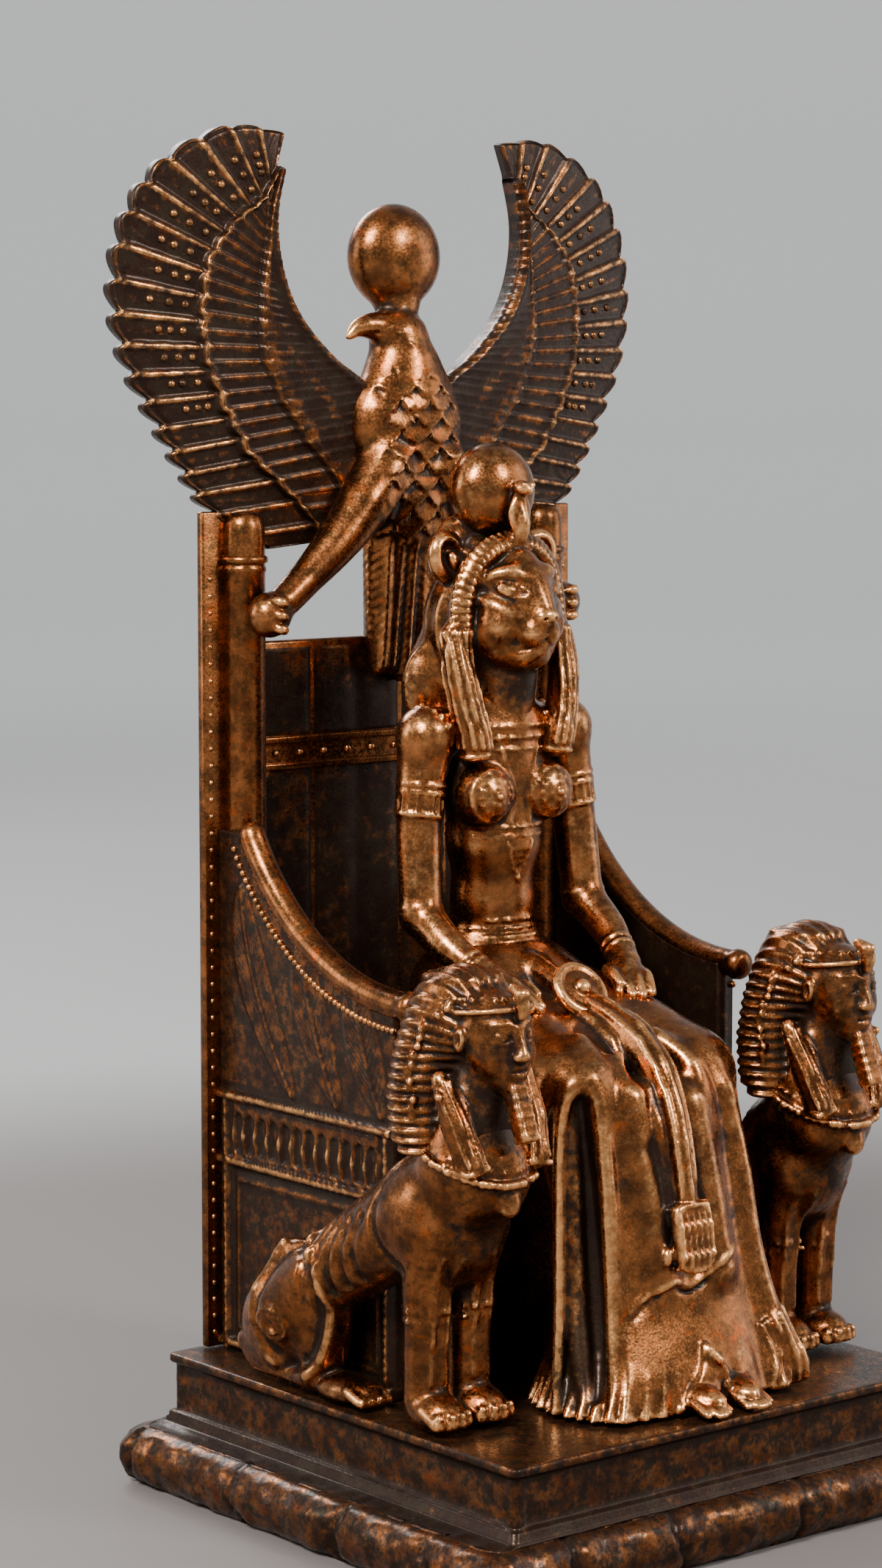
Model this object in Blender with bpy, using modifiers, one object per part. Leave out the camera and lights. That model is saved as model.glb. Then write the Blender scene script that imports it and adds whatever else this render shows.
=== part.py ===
"""A lioness-headed goddess on a falcon-winged throne between two sphinxes, on a stepped plinth.

A souvenir statue in cast resin with a copper finish. Metres, +Z up, the front faces -Y, and the
origin is the middle of the plinth's underside. Five castings: the plinth, the throne with its
falcon, the goddess and the two sphinxes. The figures are drawn in millimetres of the model as
designed, and each one has a place function that carries those drawn points to the real sizes.
"""

import math

import bmesh
import bpy
from mathutils import Matrix, Vector

MM = 0.001

# Driving sizes of the throne
BACK_WIDTH = 94 * MM
BACK_THICKNESS = 2.4 * MM
POST_HEIGHT = 165 * MM
COLUMN_RADIUS = 4.2 * MM
COLUMN_INSET = 4.5 * MM
THRONE_DEPTH = 56.4 * MM
PANEL_INSET = 2.5 * MM
PANEL_THICKNESS = 5.4 * MM
SEAT_HEIGHT = 55 * MM
ARM_HEIGHT = 103 * MM
ARM_FRONT_HEIGHT = 75 * MM
ARM_RADIUS = 2.7 * MM
FRIEZE_HEIGHT = 13 * MM
NICHE_COUNT = 12
RAIL_HEIGHT = 2 * MM
RAIL_PROUD = 1.1 * MM

# Driving sizes of the plinth, beyond the throne and the sphinxes that it carries
SPHINX_ROOM = 9.7 * MM
FRONT_ROOM = 47.9 * MM
BACK_MARGIN = 1.1 * MM
DAIS_HEIGHT = 13.4 * MM
DAIS_LIP = 1.6 * MM
DAIS_LIP_PROUD = 0.9 * MM
LEDGE_SIDE = 10.5 * MM
LEDGE_FRONT = 6.3 * MM
SLAB_HEIGHT = 11.5 * MM
STONE_JOINT = 1.4 * MM

# Driving sizes of the figures
GODDESS_SITTING_HEIGHT = 123.3 * MM
SPHINX_HEIGHT = 86 * MM
FALCON_HEIGHT = 90 * MM
WING_HEIGHT = 75 * MM
GAP = 0.3 * MM

# The same sizes as the figures were drawn to, so that a figure scales by its own height
DRAWN_PLINTH = 24.9
DRAWN_FRONT = -4.8
DRAWN_SEAT = 80.2
DRAWN_SITTING = 123.3
DRAWN_SPHINX = 86
DRAWN_SIDE = 44.5
DRAWN_POST_TOP = 190.2
DRAWN_BACK_HALF = 47
DRAWN_BACK = 51.6
DRAWN_FALCON = 90
DRAWN_WING = 75

# Sizes that follow
plinth_top = SLAB_HEIGHT + DAIS_HEIGHT
base_level = plinth_top + GAP
back_half = BACK_WIDTH / 2
side_plane = back_half - PANEL_INSET
dais_half_x = side_plane + GAP + SPHINX_ROOM
dais_depth = BACK_MARGIN + THRONE_DEPTH + FRONT_ROOM
dais_half_y = dais_depth / 2
slab_half_x = dais_half_x + LEDGE_SIDE
slab_half_y = dais_half_y + LEDGE_FRONT
back_y = dais_half_y - BACK_MARGIN
front_y = back_y - THRONE_DEPTH
board_y = back_y - BACK_THICKNESS
column_x = back_half - COLUMN_INSET - COLUMN_RADIUS
column_y = board_y - 0.3 * COLUMN_RADIUS
post_top = plinth_top + POST_HEIGHT
seat_top = plinth_top + SEAT_HEIGHT
arm_top = plinth_top + ARM_HEIGHT
arm_front = plinth_top + ARM_FRONT_HEIGHT
panel_plane = side_plane - RAIL_PROUD
frieze_top = seat_top - 0.09 * SEAT_HEIGHT
frieze_bottom = frieze_top - FRIEZE_HEIGHT

COLOURS = {
    "plinth": (0.16, 0.075, 0.04),
    "winged_throne": (0.27, 0.11, 0.045),
    "lion_goddess": (0.42, 0.19, 0.08),
    "sphinx_left": (0.33, 0.15, 0.065),
    "sphinx_right": (0.33, 0.15, 0.065),
}


# Tools for making and joining solids


def clear_scene():
    """Remove every object, and make the statue's collection and the one for cutters."""
    for thing in list(bpy.data.objects):
        bpy.data.objects.remove(thing, do_unlink=True)
    made = []
    for name in ("lioness_statue", "cutters"):
        group = bpy.data.collections.new(name)
        bpy.context.scene.collection.children.link(group)
        made.append(group)
    return made


STATUE, CUTTERS = clear_scene()


def copper(name):
    """The worn copper finish of one piece."""
    material = bpy.data.materials.new(name + "_copper")
    material.use_nodes = True
    shader = material.node_tree.nodes["Principled BSDF"]
    shader.inputs["Base Color"].default_value = (*COLOURS[name], 1)
    shader.inputs["Metallic"].default_value = 0.9
    shader.inputs["Roughness"].default_value = 0.38
    return material


def piece(name, shape):
    """An object of the statue from a finished bmesh."""
    mesh = bpy.data.meshes.new(name)
    shape.to_mesh(mesh)
    shape.free()
    made = bpy.data.objects.new(name, mesh)
    STATUE.objects.link(made)
    made.data.materials.append(copper(name))
    return made


def helper(name, shape):
    """A hidden object that cuts or joins another."""
    bmesh.ops.recalc_face_normals(shape, faces=shape.faces)
    mesh = bpy.data.meshes.new(name)
    shape.to_mesh(mesh)
    shape.free()
    made = bpy.data.objects.new(name, mesh)
    made.hide_render = True
    made.display_type = "WIRE"
    CUTTERS.objects.link(made)
    return made


def boolean(target, other, operation):
    """Join another object to the target, or cut it away."""
    modifier = target.modifiers.new(operation.lower() + "_" + other.name, "BOOLEAN")
    modifier.operation = operation
    modifier.solver = "EXACT"
    modifier.object = other


def box(shape, low, high):
    """Add a box between two corners."""
    low = Vector(low)
    high = Vector(high)
    middle = Matrix.Translation((low + high) / 2)
    bmesh.ops.create_cube(shape, size=1, matrix=middle @ Matrix.Diagonal((*(high - low), 1)))


def ball(shape, centre, radii, turn=(0, 0, 0), segments=14, rings=9):
    """Add an ellipsoid, turned by degrees about X, Y and Z."""
    angles = [math.radians(a) for a in turn]
    spin = Matrix.Rotation(angles[2], 4, "Z") @ Matrix.Rotation(angles[1], 4, "Y")
    spin = spin @ Matrix.Rotation(angles[0], 4, "X")
    matrix = Matrix.Translation(centre) @ spin @ Matrix.Diagonal((*radii, 1))
    bmesh.ops.create_uvsphere(shape, u_segments=segments, v_segments=rings, radius=1, matrix=matrix)


def limb(shape, points, radii, flat=1.0, segments=12):
    """Add a chain of tapered tubes with round ends; flat squeezes them across X."""
    for a, b, ra, rb in zip(points, points[1:], radii, radii[1:]):
        a = Vector(a)
        b = Vector(b)
        aim = (b - a).to_track_quat("Z", "Y").to_matrix().to_4x4()
        squeeze = Matrix.Diagonal((flat, 1, 1, 1))
        middle = (a + b) / 2
        matrix = Matrix.Translation(middle) @ squeeze @ aim
        bmesh.ops.create_cone(shape, cap_ends=True, segments=segments, radius1=ra, radius2=rb,
                              depth=(b - a).length, matrix=matrix)
    for point, radius in zip(points, radii):
        ball(shape, point, (radius * flat, radius, radius), segments=segments, rings=8)


def ring_loft(shape, rings):
    """Add a closed solid through rings that all have the same number of points."""
    made = [[shape.verts.new(p) for p in ring] for ring in rings]
    for lower, upper in zip(made, made[1:]):
        for i in range(len(lower)):
            j = (i + 1) % len(lower)
            shape.faces.new((lower[i], lower[j], upper[j], upper[i]))
    shape.faces.new(reversed(made[0]))
    shape.faces.new(made[-1])


def prism(shape, outline, x_low, x_high):
    """Add a solid with an outline in the YZ plane between two X planes."""
    rings = [[Vector((x, y, z)) for y, z in outline] for x in (x_low, x_high)]
    ring_loft(shape, rings)


def curve_at(points, t):
    """The point at t, from 0 to 1, on a smooth curve through evenly spaced points."""
    span = min(max(t, 0), 1) * (len(points) - 1)
    i = min(int(span), len(points) - 2)
    f = span - i
    p = [Vector(points[min(max(k, 0), len(points) - 1)]) for k in (i - 1, i, i + 1, i + 2)]
    return 0.5 * (2 * p[1] + (p[2] - p[0]) * f + (2 * p[0] - 5 * p[1] + 4 * p[2] - p[3]) * f ** 2
                  + (3 * p[1] - p[0] - 3 * p[2] + p[3]) * f ** 3)


def value_at(values, t):
    """The value at t, from 0 to 1, on straight lines between evenly spaced values."""
    span = min(max(t, 0), 1) * (len(values) - 1)
    i = min(int(span), len(values) - 2)
    return values[i] + (values[i + 1] - values[i]) * (span - i)


def modelled(name, shape, voxel, triangles, smoothing=2):
    """Melt overlapping rough forms into one skin, as clay is, and return it as a bmesh."""
    mesh = bpy.data.meshes.new(name + "_rough")
    shape.to_mesh(mesh)
    shape.free()
    rough = bpy.data.objects.new(name + "_rough", mesh)
    CUTTERS.objects.link(rough)
    melt = rough.modifiers.new("melt", "REMESH")
    melt.mode = "VOXEL"
    melt.voxel_size = voxel
    soften = rough.modifiers.new("soften", "SMOOTH")
    soften.factor = 0.5
    soften.iterations = smoothing
    faces = evaluated(rough, lambda m: len(m.polygons))
    thin = rough.modifiers.new("thin", "DECIMATE")
    thin.ratio = min(1.0, triangles / (2 * faces))
    result = bmesh.new()
    evaluated(rough, result.from_mesh)
    bpy.data.objects.remove(rough, do_unlink=True)
    return result


def evaluated(thing, use):
    """Call use with the object's mesh after its modifiers."""
    bpy.context.view_layer.update()
    shown = thing.evaluated_get(bpy.context.evaluated_depsgraph_get())
    mesh = shown.to_mesh()
    answer = use(mesh)
    shown.to_mesh_clear()
    return answer


# Plinth


def rounded_ring(half_x, half_y, radius, z, steps=2):
    """A level rectangle with round corners."""
    points = []
    for turn, sx, sy in ((0, 1, 1), (90, -1, 1), (180, -1, -1), (270, 1, -1)):
        for k in range(steps + 1):
            angle = math.radians(turn + 90 * k / steps)
            x = sx * (half_x - radius) + radius * math.cos(angle)
            y = sy * (half_y - radius) + radius * math.sin(angle)
            points.append(Vector((x, y, z)))
    return points


def make_plinth():
    """The rough stone slab under a smooth dais with a raised lip."""
    shape = bmesh.new()
    nose = 0.3 * SLAB_HEIGHT
    rings = []
    for level, inset in ((0, 0.85), (0.16, 0.3), (0.45, 0), (0.78, 0.28), (0.95, 0.9), (1, 1.35)):
        rings.append(rounded_ring(slab_half_x - inset * nose, slab_half_y - inset * nose,
                                  2.2 * nose, level * SLAB_HEIGHT))
    foot = 0.15 * DAIS_HEIGHT
    lip_bottom = plinth_top - DAIS_LIP
    corner = DAIS_LIP_PROUD
    for out, z in ((1.2, SLAB_HEIGHT), (1.2, SLAB_HEIGHT + foot), (0, SLAB_HEIGHT + foot),
                   (0, lip_bottom), (1, lip_bottom), (1, plinth_top)):
        grow = (out - 1) * DAIS_LIP_PROUD
        rings.append(rounded_ring(dais_half_x + grow, dais_half_y + grow, corner, z))
    ring_loft(shape, rings)
    plinth = piece("plinth", shape)
    joints = bmesh.new()
    for side, along, half, across in ((0, 0.55, slab_half_x, slab_half_y),
                                      (1, 0.35, slab_half_y, slab_half_x)):
        for sign in (-1, 1):
            for k, lean in enumerate((14, -11)):
                place = half * (along * (2 * k - 1) + 0.12 * sign)
                spin = Matrix.Rotation(math.radians(lean), 4, "X" if side else "Y")
                wide = STONE_JOINT
                deep = 2.2 * nose
                size = (deep, wide, 3 * SLAB_HEIGHT) if side else (wide, deep, 3 * SLAB_HEIGHT)
                x, y = (sign * across, place) if side else (place, sign * across)
                height = 0.62 * SLAB_HEIGHT
                drop = Matrix.Translation((x, y, height - 1.5 * SLAB_HEIGHT))
                bmesh.ops.create_cube(joints, size=1, matrix=drop @ spin @ Matrix.Diagonal((*size, 1)))
    boolean(plinth, helper("stone_joints", joints), "DIFFERENCE")
    return plinth


# Throne: seat block, side panels with arms, back board and columns


def arm_line(t):
    """The middle of an arm roll in YZ, from its front knob at 0 to the back column at 1."""
    y = front_y - ARM_RADIUS + (column_y - COLUMN_RADIUS - front_y) * (1 - (1 - t) ** 1.15)
    z = arm_front + (arm_top - arm_front) * t ** 2.1
    return y, z


def arm_roll(shape, x, sweep):
    """A round roll along the swept line, a little larger at its front knob, with domed ends."""
    sides = 10
    path = [Vector((0, y, z)) for y, z in sweep]
    first = (path[0] - path[1]).normalized()
    last = (path[-1] - path[-2]).normalized()
    stops = [(path[0] + first * ARM_RADIUS * out, size) for out, size in ((1, 0.45), (0.6, 0.95))]
    stops += [(path[0], 1.15)] + [(p, 1) for p in path[1:]]
    stops += [(path[-1] + last * ARM_RADIUS * out, size) for out, size in ((0.6, 0.85), (1, 0.4))]
    rings = []
    for k, (point, size) in enumerate(stops):
        before = stops[max(k - 1, 0)][0]
        after = stops[min(k + 1, len(stops) - 1)][0]
        along = (after - before).normalized()
        up = Vector((1, 0, 0)).cross(along)
        ring = []
        for n in range(sides):
            angle = 2 * math.pi * n / sides
            offset = Vector((1, 0, 0)) * math.cos(angle) + up * math.sin(angle)
            ring.append(Vector((x, 0, 0)) + point + offset * ARM_RADIUS * size)
        rings.append(ring)
    ring_loft(shape, rings)


def span(side, near, far):
    """Two X values in rising order, for distances from the middle on one side."""
    return sorted((side * near, side * far))


def side_panel(shape, side):
    """One side of the throne: a sunk panel with stiles and rails, and its swept arm."""
    steps = 7
    inner = side_plane - PANEL_THICKNESS
    back_edge = board_y + 0.5 * BACK_THICKNESS
    sweep = [arm_line(k / steps) for k in range(steps + 1)]
    outline = [(back_edge, base_level), (front_y, base_level), (front_y, seat_top)]
    outline += sweep
    outline += [(back_edge, arm_top)]
    prism(shape, outline, *span(side, inner, panel_plane))
    arm_roll(shape, side * (side_plane - PANEL_THICKNESS / 2), sweep)
    rail = span(side, panel_plane - 0.4 * RAIL_PROUD, side_plane)
    sunk = 0.3 * RAIL_PROUD
    for level in (frieze_top, frieze_bottom, base_level + sunk):
        box(shape, (rail[0], front_y + sunk, level), (rail[1], back_edge - sunk, level + RAIL_HEIGHT))
    for y in (front_y + 2 * sunk, board_y - 1.5 * RAIL_HEIGHT):
        box(shape, (rail[0], y, base_level + 2 * sunk),
            (rail[1], y + RAIL_HEIGHT, frieze_top + 0.5 * RAIL_HEIGHT))


def niche_cutters():
    """The row of small upright niches in each side's frieze."""
    shape = bmesh.new()
    run = board_y - front_y - 4 * RAIL_HEIGHT
    pitch = run / NICHE_COUNT
    for side in (-1, 1):
        x = span(side, panel_plane - RAIL_PROUD, side_plane + RAIL_PROUD)
        for k in range(NICHE_COUNT):
            middle = front_y + 2 * RAIL_HEIGHT + pitch * (k + 0.5)
            box(shape, (x[0], middle - 0.3 * pitch, frieze_bottom + 1.6 * RAIL_HEIGHT),
                (x[1], middle + 0.3 * pitch, frieze_top - 0.6 * RAIL_HEIGHT))
    return helper("niches", shape)


def back_frame(shape):
    """The back board with its outer strips, the two columns and the bars behind the goddess."""
    board_top = plinth_top + 0.845 * POST_HEIGHT
    box(shape, (-column_x, board_y, base_level), (column_x, back_y, board_top))
    for side in (-1, 1):
        x = span(side, column_x - 0.2 * COLUMN_RADIUS, back_half)
        box(shape, (x[0], board_y + 0.1 * BACK_THICKNESS, base_level),
            (x[1], back_y - 0.05 * BACK_THICKNESS, post_top))
        profile = [(COLUMN_RADIUS, base_level)]
        ring = post_top - 0.062 * POST_HEIGHT
        profile += [(COLUMN_RADIUS, ring), (1.08 * COLUMN_RADIUS, ring + 0.2 * COLUMN_RADIUS),
                    (COLUMN_RADIUS, ring + 0.4 * COLUMN_RADIUS)]
        profile += [(0.95 * COLUMN_RADIUS, post_top - 0.6 * COLUMN_RADIUS),
                    (0.6 * COLUMN_RADIUS, post_top)]
        rings = []
        for radius, z in profile:
            rings.append([Vector((side * column_x + radius * math.cos(a), column_y + radius * math.sin(a), z))
                          for a in [2 * math.pi * k / 12 for k in range(12)]])
        ring_loft(shape, rings)
    for share in (0.69, 0.722):
        z = plinth_top + share * POST_HEIGHT
        box(shape, (-column_x, board_y - 0.5 * BACK_THICKNESS, z),
            (column_x, board_y + 0.4 * BACK_THICKNESS, z + 0.7 * RAIL_HEIGHT))


# Falcon: drawn from the throne's post top and back board


def falcon_at(x, y, z):
    """A drawn falcon point at its real place."""
    unit = FALCON_HEIGHT / DRAWN_FALCON
    return Vector((x * BACK_WIDTH / (2 * DRAWN_BACK_HALF),
                   back_y + (y - DRAWN_BACK) * MM,
                   post_top + (z - DRAWN_POST_TOP) * unit))


def falcon_body():
    """Body, head turned to the goddess's right, sun disc, tail, and legs that grip the columns."""
    shape = bmesh.new()
    unit = FALCON_HEIGHT / DRAWN_FALCON

    def add(x, y, z, radii, turn=(0, 0, 0)):
        ball(shape, falcon_at(x, y, z), [r * unit for r in radii], turn)

    add(0, 46, 207, (13.5, 7.6, 12))
    add(0, 46, 194, (11.5, 6.8, 13))
    add(0, 46, 216, (8.5, 6.6, 8))
    add(-1, 46.5, 223, (7.6, 6.4, 7))
    add(-8.5, 46.5, 222.5, (4.6, 3.4, 3.4), (0, -8, 0))
    add(-12.4, 46.5, 221, (2.2, 1.9, 3), (0, 20, 0))
    add(0, 49, 240, (10.5, 7, 10.5))
    add(0, 48, 230, (4.5, 4, 3))
    tail = [falcon_at(0, 46.5, 185), falcon_at(0, 47.4, 172), falcon_at(0, 48.2, 158)]
    limb(shape, tail, [r * unit for r in (4.8, 4.2, 3.6)])
    for side in (-1, 1):
        limb(shape, [falcon_at(side * 4.6, 46.8, 186), falcon_at(side * 4.6, 47.8, 160)],
             [4.2 * unit, 3.2 * unit])
        leg = [falcon_at(side * x, y, z) for x, y, z in
               ((9, 44, 195), (18, 43, 185), (28, 42.6, 177), (35.5, 42.8, 171.5))]
        limb(shape, leg, [r * unit for r in (6, 4.2, 2.9, 3.2)])
        for lift, reach in ((2.2, 0), (-2.2, 1.6)):
            grip = falcon_at(side * (37.8 - reach), 42.6 - 0.6 * reach, 170 + lift)
            ball(shape, grip, (3.7 * unit, 3.6 * unit, 2.6 * unit), (0, side * -25, 0))
    return modelled("falcon", shape, 0.9 * unit, 850)


FEATHERS = 17
WING_ROOT = ((-30.2, 256), (-32, 248), (-31.7, 240.5), (-29.5, 233), (-25.5, 226.6),
             (-18.3, 219.9), (-9.5, 213.9), (-7.5, 206), (-7.5, 195))
WING_TIP = ((-27.4, 263.5), (-40.7, 264.4), (-55.4, 257.5), (-63.9, 246.3), (-66.6, 232.3),
            (-64.4, 219.4), (-58.7, 208.2), (-52.7, 198.6), (-46.2, 190.4))
FIRST_STEP = (0.1, 0.1, 0.1, 0.1, 0.13, 0.25, 0.3, 0.24, 0.12)
SECOND_STEP = (0.2, 0.24, 0.32, 0.43, 0.49, 0.6, 0.67, 0.6, 0.35)
LAYERS = (6.4, 5.4, 4.5, 4.5, 3.5, 2.9, 1.9)


def wing(side):
    """One raised wing: three overlapping rows of feathers, each row a step thinner."""
    shape = bmesh.new()
    unit = WING_HEIGHT / DRAWN_WING
    across = BACK_WIDTH / (2 * DRAWN_BACK_HALF)
    samples = 2 * FEATHERS + 1
    front = []
    back = []
    for i in range(samples):
        t = i / (samples - 1)
        crest = i % 2
        root = curve_at([Vector((x, z)) for x, z in WING_ROOT], t)
        tip = curve_at([Vector((x, z)) for x, z in WING_TIP], t)
        first = value_at(FIRST_STEP, t)
        second = value_at(SECOND_STEP, t)
        stations = (0, first, first + 0.03, second, second + 0.03, 0.93, 1)
        row_front = []
        row_back = []
        for j, (v, thick) in enumerate(zip(stations, LAYERS)):
            reach = v if crest or v < 1 else 0.955
            x, z = root.lerp(tip, reach)
            behind = 51.4 + 3.2 * (max(0, abs(x) - 30) / 36) ** 2
            groove = 0 if crest or j < 1 else 0.75
            rise = post_top + (z - DRAWN_POST_TOP) * unit
            deep = back_y + (behind - DRAWN_BACK) * MM
            wide = -side * x * across
            row_front.append(shape.verts.new((wide, deep - (thick - groove) * MM, rise)))
            row_back.append(shape.verts.new((wide, deep, rise)))
        front.append(row_front)
        back.append(row_back)
    last = len(LAYERS) - 1
    for i in range(samples - 1):
        for j in range(last):
            shape.faces.new((front[i][j], front[i + 1][j], front[i + 1][j + 1], front[i][j + 1]))
            shape.faces.new((back[i][j], back[i][j + 1], back[i + 1][j + 1], back[i + 1][j]))
        for j in (0, last):
            shape.faces.new((front[i][j], back[i][j], back[i + 1][j], front[i + 1][j]))
    for i in (0, samples - 1):
        for j in range(last):
            shape.faces.new((front[i][j], front[i][j + 1], back[i][j + 1], back[i][j]))
    bmesh.ops.triangulate(shape, faces=shape.faces)
    bmesh.ops.recalc_face_normals(shape, faces=shape.faces)
    return shape


def make_throne():
    """Seat, sides and back with the falcon on top, as one casting."""
    seat = bmesh.new()
    inside = side_plane - PANEL_THICKNESS + 0.3 * RAIL_PROUD
    box(seat, (-inside, front_y + 0.6 * RAIL_PROUD, base_level),
        (inside, board_y + 0.3 * BACK_THICKNESS, seat_top))
    throne = piece("winged_throne", seat)
    for side in (-1, 1):
        panel = bmesh.new()
        side_panel(panel, side)
        tag = "left" if side > 0 else "right"
        boolean_parts(throne, panel, "panel_" + tag)
    frame = bmesh.new()
    back_frame(frame)
    boolean_parts(throne, frame, "frame")
    boolean(throne, niche_cutters(), "DIFFERENCE")
    boolean(throne, helper("falcon_body", falcon_body()), "UNION")
    for side in (-1, 1):
        boolean(throne, helper("wing_left" if side > 0 else "wing_right", wing(side)), "UNION")
    return throne


def boolean_parts(target, shape, name):
    """Join each separate solid of a bmesh to the target."""
    bmesh.ops.recalc_face_normals(shape, faces=shape.faces)
    shape.verts.index_update()
    shape.faces.index_update()
    left = set(shape.verts)
    count = 0
    while left:
        island = grow_island(left)
        part = bmesh.new()
        copies = {v: part.verts.new(v.co) for v in sorted(island, key=lambda v: v.index)}
        faces = {f for v in island for f in v.link_faces}
        for face in sorted(faces, key=lambda f: f.index):
            part.faces.new([copies[v] for v in face.verts])
        boolean(target, helper(f"{name}_{count}", part), "UNION")
        count += 1
    shape.free()


def grow_island(left):
    """Take one connected set of points out of left."""
    start = min(left, key=lambda v: v.index)
    island = {start}
    stack = [start]
    left.discard(start)
    while stack:
        for edge in stack.pop().link_edges:
            for vert in edge.verts:
                if vert in left:
                    left.discard(vert)
                    island.add(vert)
                    stack.append(vert)
    return island


# Goddess: drawn from the plinth's top and the seat's front edge


def goddess_at(x, y, z):
    """A drawn point of the goddess at its real place; below the seat the legs follow its height."""
    unit = GODDESS_SITTING_HEIGHT / DRAWN_SITTING
    if z < DRAWN_SEAT:
        rise = plinth_top + (z - DRAWN_PLINTH) / (DRAWN_SEAT - DRAWN_PLINTH) * SEAT_HEIGHT
    else:
        rise = seat_top + (z - DRAWN_SEAT) * unit
    return Vector((x * unit, front_y + (y - DRAWN_FRONT) * unit, rise))


def skirt(shape):
    """The pleated skirt from the knees to the plinth, as a loft with flutes that deepen downwards."""
    sides = 44
    levels = ((86, 21.5, -17, 12.5), (76, 21.3, -22, 13), (60, 20.8, -26.5, 12),
              (44, 21, -29.5, 13), (33, 25.5, -31.5, 15.5), (24.5, 30.5, -32.5, 17))
    rings = []
    for k, (z, wide, middle, deep) in enumerate(levels):
        ring = []
        for n in range(sides):
            angle = 2 * math.pi * n / sides
            flute = 1 + (0.01 + 0.012 * k) * (1 if n % 2 else -1)
            square = 1 / max(abs(math.cos(angle)), abs(math.sin(angle))) ** 0.45
            x = wide * flute * square * math.cos(angle) * 0.93
            y = middle + deep * flute * square * math.sin(angle) * 0.93
            ring.append(goddess_at(x, y, z))
        rings.append(ring)
    ring_loft(shape, rings)


def make_goddess():
    """A seated woman with a lioness's head, a sun disc and a cobra, her hands on her thighs."""
    shape = bmesh.new()
    unit = GODDESS_SITTING_HEIGHT / DRAWN_SITTING

    def add(x, y, z, radii, turn=(0, 0, 0)):
        ball(shape, goddess_at(x, y, z), [r * unit for r in radii], turn)

    def chain(points, radii, flat=1.0):
        limb(shape, [goddess_at(*p) for p in points], [r * unit for r in radii], flat)

    # Head, muzzle, mane and disc
    add(0, 14, 172, (9.2, 10.5, 10.4))
    add(0, 6.5, 167.5, (5.4, 7.6, 5.4), (8, 0, 0))
    add(0, 1.5, 168.6, (2.8, 3, 2.4))
    add(0, 8, 161.5, (4, 5, 3.4))
    add(0, 20.5, 168, (13.2, 10, 15.5))
    add(0, 25.5, 156, (16, 6.5, 13))
    add(0, 18.6, 193.9, (9.3, 6.9, 9.3))
    chain(((0, 9, 184), (0, 8.2, 189), (0, 9.4, 194)), (1.5, 2, 1.3))
    for side in (-1, 1):
        add(side * 11.2, 19, 182.5, (3.6, 2, 4.2), (0, side * 25, 0))
        chain(((side * 11.5, 14, 166), (side * 11, 12.5, 156), (side * 9.2, 11.8, 146)),
              (5, 4.6, 3.4), 1.1)
    # Neck, torso and hips
    chain(((0, 17, 158), (0, 19, 146)), (7.5, 9))
    add(0, 18, 148.5, (17.5, 7.6, 5))
    add(0, 17.5, 138, (13.2, 8.2, 12))
    chain(((0, 17.8, 132), (0, 18.4, 118), (0, 18.4, 104)), (9.2, 7.5, 10.6), 1.12)
    add(0, 18, 97, (17.5, 15, 11.5))
    for side in (-1, 1):
        add(side * 7.8, 12.3, 135.5, (5.9, 5.6, 5.9))
        # Arm, forearm and hand
        chain(((side * 17.5, 17.5, 147), (side * 19.6, 17, 132), (side * 20.8, 15, 113)), (5.4, 4.5, 4.1))
        chain(((side * 20.8, 15, 113), (side * 20.4, 7, 107.5), (side * 18.2, 0.5, 103.2)), (4.2, 3.6, 2.8))
        add(side * 16, -3.5, 100, (3.9, 5.6, 2.5), (16, 0, side * 26))
        add(side * 13.4, -9.6, 96.8, (3.6, 4.6, 1.9), (18, 0, side * 24))
        # Thigh and shin under the skirt
        chain(((side * 9.5, 15, 92), (side * 12.6, -6, 88), (side * 14.6, -22, 82.8)), (11.4, 10, 9))
        chain(((side * 14.6, -22, 82.8), (side * 13.8, -29, 58), (side * 13.5, -33, 34)), (9, 7.4, 7.6))
        add(side * 7.5, -45.5, 28.2, (4.6, 7.5, 3.1))
    # Skirt, apron and the lap between the thighs
    skirt(shape)
    add(0, -6, 88, (11, 20, 9), (4, 0, 0))
    chain(((0, 4, 101), (0, -8, 97.5), (0, -26, 91), (0, -35.5, 78)), (3.4, 4.4, 4.2, 4))
    chain(((0, -35.5, 78), (0, -38.5, 62), (0, -40.5, 48)), (4, 4.6, 4.8), 1.15)
    body = modelled("goddess", shape, 0.95 * unit, 2250)
    bmesh.ops.recalc_face_normals(body, faces=body.faces)
    goddess = piece("lion_goddess", body)
    seat_cut = bmesh.new()
    far = 60 * unit
    box(seat_cut, (-far, front_y + 0.6 * RAIL_PROUD - GAP, base_level - far),
        (far, back_y, seat_top + GAP))
    boolean(goddess, helper("seat_clearance", seat_cut), "DIFFERENCE")
    floor_cut = bmesh.new()
    box(floor_cut, (-2 * far, -2 * far, -far), (2 * far, 2 * far, base_level))
    boolean(goddess, helper("plinth_clearance", floor_cut), "DIFFERENCE")
    return goddess


# Sphinxes: drawn for the goddess's left side, from the throne's side plane


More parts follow.
